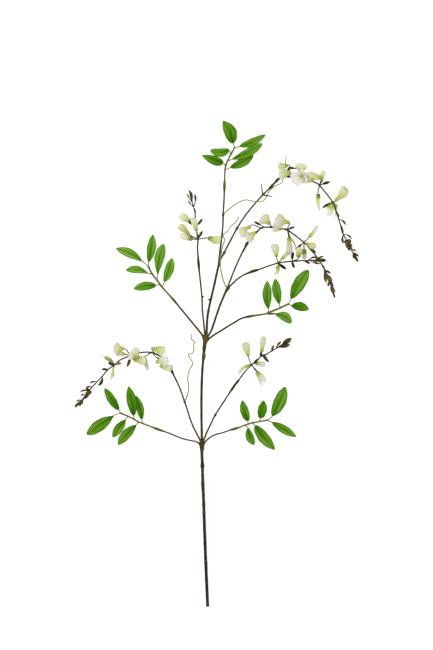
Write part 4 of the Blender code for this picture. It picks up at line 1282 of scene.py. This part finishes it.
def petal(foot, axes, length, width, throat, shape, pale, bow, thickness, rng):
    """One petal, cut from a sheet: it starts as part of the floret's tube, then flattens and widens
    to a blunt, slightly frilled end."""
    long_share, wide_share, widest, opening, curl, cup, place, bluntness = shape
    ahead, side, top = axes
    angle = math.radians(place)
    out = top * math.cos(angle) + side * math.sin(angle)
    sideways = np.cross(ahead, out)
    long, half_width = length * long_share, width * wide_share / 2
    along = np.sin(np.linspace(0, math.pi / 2, PETAL_ROWS))[:, None]
    across = np.linspace(-1, 1, PETAL_COLUMNS)[None, :]

    # Outline: half the width at each row, from the claw to the blunt end
    claw = 1.1 * max(throat, PETAL_CLAW)
    past = np.clip((along - widest) / (1.004 - widest), 0, 1)
    half = claw + (half_width - claw) * np.sin(math.pi / 2 * np.minimum(along / widest, 1))
    half = np.maximum(half * (1 - past**bluntness) ** (1 / bluntness), PETAL_POINT)
    aside = across * half

    # Middle line: how far out and how far on the petal's middle is at each row
    lean = opening * math.atan2(width / 2 - throat, length)
    lean = lean + math.radians(curl) * np.minimum(2.5 * along, 1)
    step = np.gradient(along, axis=0) * long
    middle_out, middle_on = (np.cumsum(part(lean) * step, axis=0) for part in (np.sin, np.cos))
    middle_out, middle_on = throat + middle_out - middle_out[0], middle_on - middle_on[0]

    # Cross-section: round as the throat at the foot, and cupped by its own measure at the end
    flat = smooth(along / 0.6)
    curve = (1 - flat) / np.maximum(middle_out, throat) + flat * cup / half_width
    inward = (1 - np.cos(curve * aside)) / curve
    spread = np.sin(curve * aside) / curve

    # Frill at the cut end, ruffles along the edges and lengthwise creases
    frill = PETAL_FRILL * along**6 * (
        np.cos(5.0 * across + rng.uniform(0, 6)) + 0.7 * np.cos(11.0 * across + rng.uniform(0, 6)))
    ruffle = 0.12 * half_width * np.abs(across)**2 * smooth((along - 0.3) / 0.5) * np.sin(
        2 * math.pi * (1.5 * along + rng.uniform()) + 3.0 * across)
    crease = 0.05 * half_width * np.cos(math.pi * 5 * across) * along
    outward = middle_out - inward * np.cos(lean) + (ruffle + crease + frill * np.sin(lean))
    onward = middle_on + inward * np.sin(lean) + frill * np.cos(lean)
    shift = bow * np.sin(math.pi * np.clip(onward / length, 0, 1))
    to_right = unit(np.cross(ahead, (0, 0, 1.0))) if bow else side
    grid = (foot + ahead * onward[..., None] + out * outward[..., None]
            + sideways * spread[..., None] + to_right * shift[..., None])

    # Dye: paler with the way out from the calyx, and palest at the rim
    rim = np.maximum(np.abs(across)**4 * smooth(along / 0.4), along**5)
    tone = (along * (0.42 + 0.38 * pale) + 0.32 * pale * smooth(along / 0.45) + 0.22 * rim
            + rng.uniform(-0.04, 0.04))
    return sheet(grid, thickness, tone=np.clip(tone, 0, 1))


def floret_petals(calyx, end, width, kind, turn, pale, bow, thickness, rng):
    """All petals of one floret."""
    calyx, end = as_points(calyx, end)
    axes = floret_axes(calyx, end, kind, turn)
    foot = calyx + axes[0] * PETAL_FOOT
    length = np.linalg.norm(end - foot)
    mouth = min(CALYXES[kind][1], CALYX_SHARE * width)
    throat = PETAL_EYE if kind in FACING_UP else mouth - PETAL_SEAT
    return [petal(foot, axes, length, width, throat, shape, pale if shape[0] > KEEL_SHARE else 0,
                  bow, thickness, rng)
            for shape in PETALS[kind]]


def calyx_cup(calyx, end, width, kind, turn, rng):
    """A small moulded cup with teeth that holds the petals."""
    calyx, end = as_points(calyx, end)
    ahead, side, top = floret_axes(calyx, end, kind, turn)
    foot = calyx - ahead * CALYX_BACK
    depth, mouth, teeth, shade = CALYXES[kind]
    if kind not in WIDE_CUPS:
        mouth = min(mouth, CALYX_SHARE * width)
    share = np.linspace(0, 1, CALYX_ROWS)[:, None]
    angle = np.linspace(0, 2 * math.pi, CALYX_COLUMNS, endpoint=False)[None, :] + rng.uniform(0, 1)
    lobes = np.cos(CALYX_TEETH * angle)
    tooth = teeth * smooth((share - 0.5) / 0.5) * np.abs(np.cos(CALYX_TEETH / 2 * angle))**1.5
    radius = mouth * np.interp(share, (0, 0.12, 0.35, 0.7, 1), (0.3, 0.82, 0.98, 1.0, 1.04))
    radius = radius * (1 + 0.10 * tooth / max(teeth, 0.1) + 0.04 * lobes * share)
    height = depth * share + tooth
    grid = (foot + ahead * height[..., None] + side * (radius * np.cos(angle))[..., None]
            + top * (radius * np.sin(angle))[..., None])
    tone = 0.2 + shade + 0.55 * share + 0.15 * lobes + rng.uniform(-0.1, 0.1)
    return sheet(grid, CALYX_THICKNESS, closed=True, tone=np.clip(tone, 0, 1))


def pedicel(root, calyx, end, kind):
    """The thin stalk of one floret, brown at its root and green at the calyx."""
    calyx, end = as_points(calyx, end)
    ahead = floret_axes(calyx, end, kind, 0)[0]
    into_cup = 0.8
    foot = calyx - ahead * (CALYX_BACK - into_cup)
    line = bend(root, foot, unit(foot - root), ahead, PEDICEL_RINGS)
    share = np.linspace(0, 1, PEDICEL_RINGS)
    return tube(line, PEDICEL_RADIUS, PEDICEL_SIDES, 0.3 + 0.4 * share, sleeve=0.7 * share**3)


# ---------------------------------------------------------------- buds

def bud(root, tip, width, bow, gold, rng):
    """A moulded bud: a thin foot, a little cup, a ridged spindle and a blunt point. bow bends it to
    the right of its way from the root."""
    root, tip = as_points(root, tip)
    length = np.linalg.norm(tip - root)
    ahead = (tip - root) / length
    right = unit(np.cross(ahead, (0, 0, 1)))
    share = np.linspace(0, 1, BUD_RINGS)
    bend_out = (0.03 * length * rng.uniform(-1, 1) + bow) * np.sin(math.pi * share)
    line = root + ahead * (length * share)[:, None] + right * bend_out[:, None]
    foot = min(max(BUD_FOOT_SLOPE * (length / width - 1.2), 0.1), 0.45)
    body = 1 - foot
    places, radii = zip(
        (0, 1.2), (foot, 1.1), (foot + 0.05, 0.34 * width), (foot + 0.10, 0.33 * width),
        (foot + 0.30 * body, 0.47 * width), (foot + 0.60 * body, 0.5 * width),
        (0.9, 0.24 * width), (1, 0.2))
    turn = np.linspace(0, 2 * math.pi, BUD_SIDES, endpoint=False)
    ridges = np.cos(4 * turn + rng.uniform(0, 6)) * smooth((share - foot) / 0.2)[:, None]
    skin = np.interp(share, places, radii)[:, None] * (1 + 0.09 * ridges)
    along_body = 1 - np.abs(2 * (share - foot) / body - 1)
    tone = gold + 0.45 * along_body - 0.18 + rng.uniform(-0.08, 0.08)
    return tube(line, skin, BUD_SIDES, np.clip(tone, 0, 1), blunt=0.6)


def rosette(root, tip, width, bow, gold, rng):
    """A cluster of half-open buds and bracts about one axis, ending in a bud of its own."""
    root, tip = as_points(root, tip)
    length = np.linalg.norm(tip - root)
    ahead = (tip - root) / length
    side = unit(np.cross(ahead, (0.1, 0.2, 1.0)))
    top = np.cross(side, ahead)
    shapes = [bud(root + ahead * 0.25 * length, tip, 0.42 * width, bow, gold - 0.25, rng)]
    count = max(7, round(width * 0.7))
    lean_at_foot, less_at_tip = ROSETTE_LEAN
    for k in range(count):
        share = k / (count - 1)
        turn = k * GOLDEN_ANGLE + rng.uniform(-0.3, 0.3)
        out = side * math.cos(turn) + top * math.sin(turn)
        lean = math.radians(lean_at_foot - less_at_tip * share)
        start = root + ahead * length * ROSETTE_REACH * share
        size = width * (0.56 - 0.16 * share) * rng.uniform(0.85, 1.1)
        end = start + (ahead * math.cos(lean) + out * math.sin(lean)) * size
        side_gold = gold + 0.22 * rng.uniform(-1, 1)
        shapes.append(bud(start, end, 0.26 * width + 1.6, 0, side_gold, rng))
    return shapes


def buds_along(line, rows, rng):
    """Buds along a twig: a wide entry is a cluster, and a slim one is a single bud."""
    shapes = []
    for root, tip, width, bow, gold in rows:
        root = nearest_on(line, root)
        if width >= ROSETTE_FROM:
            shapes += rosette(root, tip, width, bow, gold, rng)
        else:
            shapes.append(bud(root, tip, width, bow, gold, rng))
    return shapes


# ---------------------------------------------------------------- racemes

def twig(points, radii, swell_at, tones, greens, rng):
    """A moulded twig. tones and greens are (place along it, value)."""
    run = run_along(points)
    sizes = tapered(run, radii, swell_at) * (1 + 0.05 * wander(run, rng, 11, 19, 31))
    turn = np.linspace(0, 2 * math.pi, TWIG_SIDES, endpoint=False)
    skin = sizes[:, None] * (1 + 0.05 * np.cos(3 * turn + wander(run, rng, 37)[:, None] * 2))
    tone = np.interp(run, *zip(*tones)) + 0.12 * wander(run, rng, 23, 41)
    return tube(points, skin, TWIG_SIDES, np.clip(tone, 0, 1),
                sleeve=np.interp(run, *zip(*greens)), blunt=0.4)


def flower_stalk(parts, rng):
    """A flower stalk with its knots, its side prongs and the plug sleeve at its end."""
    points, at_waypoint = curve_through(parts["stalk"], TWIG_STEP)
    run = run_along(points)
    swell_at = swell_places(run, at_waypoint, parts["swellings"])
    plug, _, half_length = max(swell_at)
    tones = [(0, 0.5), (plug - half_length - 4, 0.45), (plug - half_length, 0.2), (plug, 0.35),
             (max(run[-1], plug + 1), 0.4)]
    shapes = [twig(points, FLOWER_STALK_RADII, swell_at, tones, [(0, 0.2), (run[-1], 0.0)], rng)]
    for start, end in parts["prongs"]:
        start, end = as_points(start, end)
        line = bend(start, end, unit(end - start + (0, 0, 3)), unit(end - start), PRONG_RINGS)
        knob = (run_along(line)[-1] * 0.8, 1.2, 4)
        shapes.append(twig(line, PRONG_RADII, [knob], [(0, 0.4), (30, 0.7)],
                           [(0, 0.2), (30, 0.3)], rng))
    return shapes


def rachis(parts, rng):
    """The run of a raceme that carries florets: a knot at each root and a thin stalk for each
    floret."""
    points = curve_through(parts["rachis"], TWIG_STEP)[0]
    run = run_along(points)
    roots = [nearest_on(points, root) for root, *_ in parts["florets"]]
    places = sorted({run[np.argmin(np.linalg.norm(points - root, axis=1))] for root in roots})
    knots = [(place, RACHIS_RADII[0] + KNOT_RISE, KNOT_LENGTH) for place in places]
    stem = twig(points, RACHIS_RADII, knots, [(0, 0.35), (run[-1], 0.45)],
                [(0, 0.1), (run[-1], 0.15)], rng)
    return [stem, *(pedicel(root, calyx, end, kind)
                    for root, (_, calyx, end, _, kind, *_) in zip(roots, parts["florets"]))]


def bud_spike(parts, rng):
    """The end of a raceme: a thin twig with its buds."""
    points = curve_through(parts["tip"], TWIG_STEP)[0]
    run = run_along(points)
    sizes = tapered(run, TIP_RADII) * (1 + 0.08 * wander(run, rng, 7, 13))
    stem = tube(points, sizes, BUD_SIDES, 0.3 + 0.15 * wander(run, rng, 17, 29))
    return [stem, *buds_along(points, parts["tip_buds"], rng)]


def tendril(route, rng):
    """A thin coated wire, curled by hand."""
    points = curve_through(route, TENDRIL_STEP)[0]
    run = run_along(points)
    tone = 0.6 + 0.3 * wander(run, rng, 19, 37)
    return tube(points, tapered(run, TENDRIL_RADII), TENDRIL_SIDES, tone)


# ---------------------------------------------------------------- settings

def colour_setting(name, description, hex_colour):
    return FloatVectorProperty(name=name, description=description, default=linear(hex_colour),
                               subtype="COLOR", size=3, min=0, max=1)


def length_setting(name, description, millimetres):
    return FloatProperty(name=name, description=description, default=millimetres * MM,
                         min=0.0, subtype="DISTANCE", unit="LENGTH", precision=4)


def power_setting(name, description, watts):
    return FloatProperty(name=name, description=description, default=watts,
                         min=0.0, subtype="POWER", unit="POWER")


class WisteriaStemSettings(bpy.types.PropertyGroup):
    """Colours and grain of the moulded stems and stalks"""
    dark: colour_setting("Bark shade", "Darkest patches of the moulded stems", BARK_COLOURS[0])
    middle: colour_setting("Bark", "Middle tone of the moulded stems", BARK_COLOURS[1])
    light: colour_setting("Bark light", "Palest patches of the moulded stems", BARK_COLOURS[2])
    sleeve: colour_setting("Sleeve green", "Green cast of sleeves and joints", SLEEVE_COLOUR)
    twig_dark: colour_setting("Twig shade", "Darkest tone of the stalks", TWIG_COLOURS[0])
    twig_middle: colour_setting("Twig", "Middle tone of the stalks", TWIG_COLOURS[1])
    twig_light: colour_setting("Twig light", "Palest tone of the stalks", TWIG_COLOURS[2])
    grain: length_setting("Grain width", "Width of one streak of the moulded grain", STEM_GRAIN)
    grain_depth: length_setting("Grain depth", "Depth of the moulded grain", STEM_GRAIN_DEPTH)


class WisteriaLeafSettings(bpy.types.PropertyGroup):
    """Colours and thickness of the leaflets' cloth"""
    midrib: colour_setting("Midrib green", "Dark print along the midrib", LEAF_COLOURS[0])
    blade: colour_setting("Blade green", "Main green of the leaflets", LEAF_COLOURS[1])
    # Painted sheen: the pale green painted in bands where the cloth's gloss would catch the light
    painted_sheen: colour_setting("Satin green", "Pale bands where the cloth shines", LEAF_COLOURS[2])
    thickness: length_setting("Cloth thickness", "Thickness of a coated leaflet", 0.5)


class WisteriaFloretSettings(bpy.types.PropertyGroup):
    """Colours of petals and calyxes, and thickness of the petals' cloth"""
    foot: colour_setting("Petal foot", "Dye where a petal leaves its calyx", PETAL_COLOURS[0])
    middle: colour_setting("Petal middle", "Dye on a petal's lower half", PETAL_COLOURS[1])
    cream: colour_setting("Petal cream", "Dye on a petal's upper half", PETAL_COLOURS[2])
    edge: colour_setting("Petal edge", "Palest tone at a petal's edge", PETAL_COLOURS[3])
    thickness: length_setting("Petal thickness", "Thickness of the stiffened petal cloth", 0.3)
    calyx_dark: colour_setting("Calyx foot", "Green of a calyx at its stalk", CALYX_COLOURS[0])
    calyx_light: colour_setting("Calyx rim", "Green of a calyx at its teeth", CALYX_COLOURS[1])


class WisteriaBudSettings(bpy.types.PropertyGroup):
    """Colours of the buds and tendrils"""
    dark: colour_setting("Bud foot", "Dark brown of a bud's foot", BUD_COLOURS[0])
    middle: colour_setting("Bud", "Brown of a bud's body", BUD_COLOURS[1])
    tip: colour_setting("Bud tip", "Golden olive of the palest buds", BUD_COLOURS[2])
    tendril_dark: colour_setting("Tendril shade", "Darker green of a tendril", TENDRIL_COLOURS[0])
    tendril_light: colour_setting("Tendril", "Pale green of a tendril", TENDRIL_COLOURS[1])


class WisteriaStageSettings(bpy.types.PropertyGroup):
    """Background paper and lights"""
    paper: colour_setting("Paper", "Colour of the background paper", PAPER_COLOUR)
    glow: FloatProperty(name="Paper glow", default=0.5, min=0.0, max=2.0,
                        description="Light given off by the paper, so that it reads as white")
    key: power_setting("Key light", "Power of the large soft light", 30.0)
    fill: power_setting("Fill light", "Power of the light on the other side", 8.0)
    sky: FloatProperty(name="Room light", default=0.5, min=0.0, max=5.0,
                       description="Strength of the even light from all round")


# ---------------------------------------------------------------- operators

def brown_plastic(name, tones, roughness):
    """A moulded brown plastic with green sleeves, made once and then shared."""
    settings = bpy.context.scene.wisteria_stems
    return bpy.data.materials.get(name) or moulded_plastic(
        name, [getattr(settings, tone) for tone in tones], roughness,
        settings.grain / MM, settings.grain_depth / MM, over=("sleeve", settings.sleeve))


def bark_material():
    """Polyethylene moulded as bark: near black to tan in patches, and greener at its joints."""
    return brown_plastic("moulded_polyethylene_bark", ("dark", "middle", "light"), BARK_ROUGHNESS)


def twig_material():
    """The same plastic in a lighter brown, for stalks, with plug sleeves that go green."""
    tones = ("twig_dark", "twig_middle", "twig_light")
    return brown_plastic("moulded_polyethylene_twig", tones, TWIG_ROUGHNESS)


class WISTERIA_OT_stems(bpy.types.Operator):
    """Mould the main stem and the two branches that fork from it"""
    bl_idname = "wisteria.stems"
    bl_label = "Main Stem and Branches"

    def execute(self, context):
        rng = np.random.default_rng(SEED + 1)
        for name, (route, radii, swellings) in BRANCHES.items():
            shapes = [bark_stem(route, radii, swellings, BARK_DETAILS[name], rng)]
            if name in JOINTS:
                shapes += joint_tails(*JOINTS[name], rng)
            shapes += stubs(name, rng)
            add_piece(f"moulded_{name}", shapes, bark_material(), "stem_plastic", name)
        return {"FINISHED"}


class WISTERIA_OT_leaf_stalks(bpy.types.Operator):
    """Mould the five leaf stalks, each with its sleeve, its rachis and a stalk for each leaflet"""
    bl_idname = "wisteria.leaf_stalks"
    bl_label = "Leaf Stalks"

    def execute(self, context):
        rng = np.random.default_rng(SEED + 2)
        for place, parts in LEAVES.items():
            add_piece(f"moulded_leaf_stalk_{place}", leaf_stalk(*parts, rng), twig_material(),
                      "twig_plastic", f"leaf_stalk_{place}")
        return {"FINISHED"}


class WISTERIA_OT_leaflets(bpy.types.Operator):
    """Cut and press the cloth leaflets"""
    bl_idname = "wisteria.leaflets"
    bl_label = "Leaflets"

    def execute(self, context):
        settings = context.scene.wisteria_leaves
        material = printed_leaf_cloth(settings)
        thickness = settings.thickness / MM
        rng = np.random.default_rng(SEED + 3)
        for place, styles in LEAFLET_STYLES.items():
            for k, style in enumerate(styles, 1):
                node = f"leaflet_{place}_{k}"
                ends = blade_axis(node, f"leaf_stalk_{place}")
                shapes = [leaflet_blade(*ends, thickness, style, rng)]
                if (place, k) in FOLDED_FEET:
                    ends = as_points(*FOLDED_FEET[place, k])
                    shapes.append(leaflet_blade(*ends, thickness, FOLDED_FOOT_STYLE, rng))
                add_piece(f"cloth_{node}", shapes, material, "leaf_cloth", node)
        return {"FINISHED"}


class WISTERIA_OT_flower_stalks(bpy.types.Operator):
    """Mould the six flower stalks up to their plug sleeves"""
    bl_idname = "wisteria.flower_stalks"
    bl_label = "Flower Stalks"

    def execute(self, context):
        rng = np.random.default_rng(SEED + 4)
        for place, parts in RACEMES.items():
            shapes = flower_stalk(parts, rng) + stubs(place, rng)
            add_piece(f"moulded_flower_stalk_{place}", shapes, twig_material(), "twig_plastic",
                      f"flower_stalk_{place}")
        return {"FINISHED"}


class WISTERIA_OT_rachises(bpy.types.Operator):
    """Mould the run of each raceme that carries florets, with the florets' stalks"""
    bl_idname = "wisteria.rachises"
    bl_label = "Raceme Stalks"

    def execute(self, context):
        rng = np.random.default_rng(SEED + 5)
        for place, parts in RACEMES.items():
            add_piece(f"rachis_{place}", rachis(parts, rng), twig_material(), "twig_plastic",
                      f"flower_head_{place}")
        return {"FINISHED"}


class WISTERIA_OT_calyces(bpy.types.Operator):
    """Mould the toothed cup that holds each floret"""
    bl_idname = "wisteria.calyces"
    bl_label = "Calyces"

    def execute(self, context):
        material = calyx_plastic(context.scene.wisteria_florets)
        rng = np.random.default_rng(SEED + 6)
        for place, parts in RACEMES.items():
            for k, (_, calyx, end, width, kind, turn, *_) in enumerate(parts["florets"], 1):
                add_piece(f"calyx_{place}_{k}", [calyx_cup(calyx, end, width, kind, turn, rng)],
                          material, "petal_silk", f"flower_head_{place}")
        return {"FINISHED"}


class WISTERIA_OT_petals(bpy.types.Operator):
    """Cut, dye and shape the cloth petals of each floret"""
    bl_idname = "wisteria.petals"
    bl_label = "Petals"

    def execute(self, context):
        settings = context.scene.wisteria_florets
        material = dyed_petal_cloth(settings)
        rng = np.random.default_rng(SEED + 7)
        for place, parts in RACEMES.items():
            for k, (_, *floret) in enumerate(parts["florets"], 1):
                petals = floret_petals(*floret, settings.thickness / MM, rng)
                add_piece(f"floret_{place}_{k}", petals, material, "petal_silk",
                          f"flower_head_{place}")
        return {"FINISHED"}


class WISTERIA_OT_buds(bpy.types.Operator):
    """Mould the buds between the florets and the bud spike that ends each raceme"""
    bl_idname = "wisteria.buds"
    bl_label = "Buds"

    def execute(self, context):
        settings = context.scene.wisteria_buds
        # Polyethylene from a small smooth mould: a touch glossier than the stalks, and brushed
        # with a golden olive that is strongest at the middle of a bud
        material = moulded_plastic(
            "moulded_polyethylene_bud", [settings.dark, settings.middle, settings.tip],
            BUD_ROUGHNESS, BUD_GRAIN, BUD_GRAIN_DEPTH)
        rng = np.random.default_rng(SEED + 8)
        for place, parts in RACEMES.items():
            line = curve_through(parts["rachis"], TWIG_STEP)[0]
            add_piece(f"head_buds_{place}", buds_along(line, parts["buds"], rng), material,
                      "bud_plastic", f"flower_head_{place}")
            add_piece(f"bud_spike_{place}", bud_spike(parts, rng), material,
                      "bud_plastic", f"bud_tip_{place}")
        return {"FINISHED"}


class WISTERIA_OT_tendrils(bpy.types.Operator):
    """Draw the three thin curled tendrils"""
    bl_idname = "wisteria.tendrils"
    bl_label = "Tendrils"

    def execute(self, context):
        settings = context.scene.wisteria_buds
        # Soft green plastic drawn over thin wire: smooth, even and a little waxy
        material = moulded_plastic(
            "coated_tendril_wire", [settings.tendril_dark, settings.tendril_light],
            WIRE_ROUGHNESS, WIRE_GRAIN, WIRE_GRAIN_DEPTH)
        rng = np.random.default_rng(SEED + 9)
        for name, route in TENDRILS.items():
            add_piece(f"coated_{name}", [tendril(route, rng)], material, "tendril_plastic", name)
        return {"FINISHED"}


class WISTERIA_OT_stage(bpy.types.Operator):
    """Lay down the background paper and set the lights and the camera"""
    bl_idname = "wisteria.stage"
    bl_label = "Paper, Lights and Camera"

    def execute(self, context):
        scene, settings = context.scene, context.scene.wisteria_stage
        mesh = bpy.data.meshes.new("background_paper")
        turn = np.linspace(0, 2 * math.pi, FLOOR_CORNERS, endpoint=False)
        corners = FLOOR_RADIUS * np.stack([np.cos(turn), np.sin(turn), 0 * turn], axis=1)
        mesh.from_pydata(corners, [], [tuple(range(FLOOR_CORNERS))])
        mesh.materials.append(studio_paper(settings))
        floor = bpy.data.objects.new("background_paper", mesh)
        context.collection.objects.link(floor)

        world = bpy.data.worlds.new("even_room")
        world.use_nodes = True
        background = world.node_tree.nodes["Background"]
        background.inputs["Color"].default_value = (1, 1, 1, 1)
        background.inputs["Strength"].default_value = settings.sky
        scene.world = world
        for name, power, (size, place) in (
                ("key_light", settings.key, KEY_LIGHT), ("fill_light", settings.fill, FILL_LIGHT)):
            light = bpy.data.lights.new(name, "AREA")
            light.energy, light.size = power, size
            lamp = bpy.data.objects.new(name, light)
            lamp.location = place
            lamp.rotation_euler = (-Vector(place)).to_track_quat("-Z", "Y").to_euler()
            context.collection.objects.link(lamp)

        camera = bpy.data.objects.new("camera_above", bpy.data.cameras.new("camera_above"))
        camera.data.lens, camera.data.clip_end = CAMERA_LENS, CAMERA_REACH
        camera.location = CAMERA_PLACE
        context.collection.objects.link(camera)
        scene.camera = camera
        scene.view_settings.view_transform = "Standard"
        return {"FINISHED"}


PIECES = (
    WISTERIA_OT_stems, WISTERIA_OT_leaf_stalks, WISTERIA_OT_leaflets, WISTERIA_OT_flower_stalks,
    WISTERIA_OT_rachises, WISTERIA_OT_calyces, WISTERIA_OT_petals, WISTERIA_OT_buds,
    WISTERIA_OT_tendrils, WISTERIA_OT_stage,
)
SETTINGS = {
    "wisteria_stems": WisteriaStemSettings,
    "wisteria_leaves": WisteriaLeafSettings,
    "wisteria_florets": WisteriaFloretSettings,
    "wisteria_buds": WisteriaBudSettings,
    "wisteria_stage": WisteriaStageSettings,
}


class WISTERIA_PT_spray(bpy.types.Panel):
    """The spray's pieces and the settings that shape and colour them"""
    bl_idname = "WISTERIA_PT_spray"
    bl_label = "Artificial Wisteria Spray"
    bl_space_type = "VIEW_3D"
    bl_region_type = "UI"
    bl_category = "Wisteria"

    def draw(self, context):
        for group in SETTINGS:
            box = self.layout.box()
            values = getattr(context.scene, group)
            for setting in values.bl_rna.properties:
                if setting.identifier not in ("rna_type", "name"):
                    box.prop(values, setting.identifier)
        for piece in PIECES:
            self.layout.operator(piece.bl_idname)


CLASSES = (*SETTINGS.values(), *PIECES, WISTERIA_PT_spray)


def register():
    for group in CLASSES:
        bpy.utils.register_class(group)
    for name, group in SETTINGS.items():
        setattr(bpy.types.Scene, name, PointerProperty(type=group))


def unregister():
    for name in SETTINGS:
        delattr(bpy.types.Scene, name)
    for group in reversed(CLASSES):
        bpy.utils.unregister_class(group)


def main():
    register()
    for piece in PIECES:
        family, action = piece.bl_idname.split(".")
        getattr(getattr(bpy.ops, family), action)()


if __name__ == "__main__":
    main()
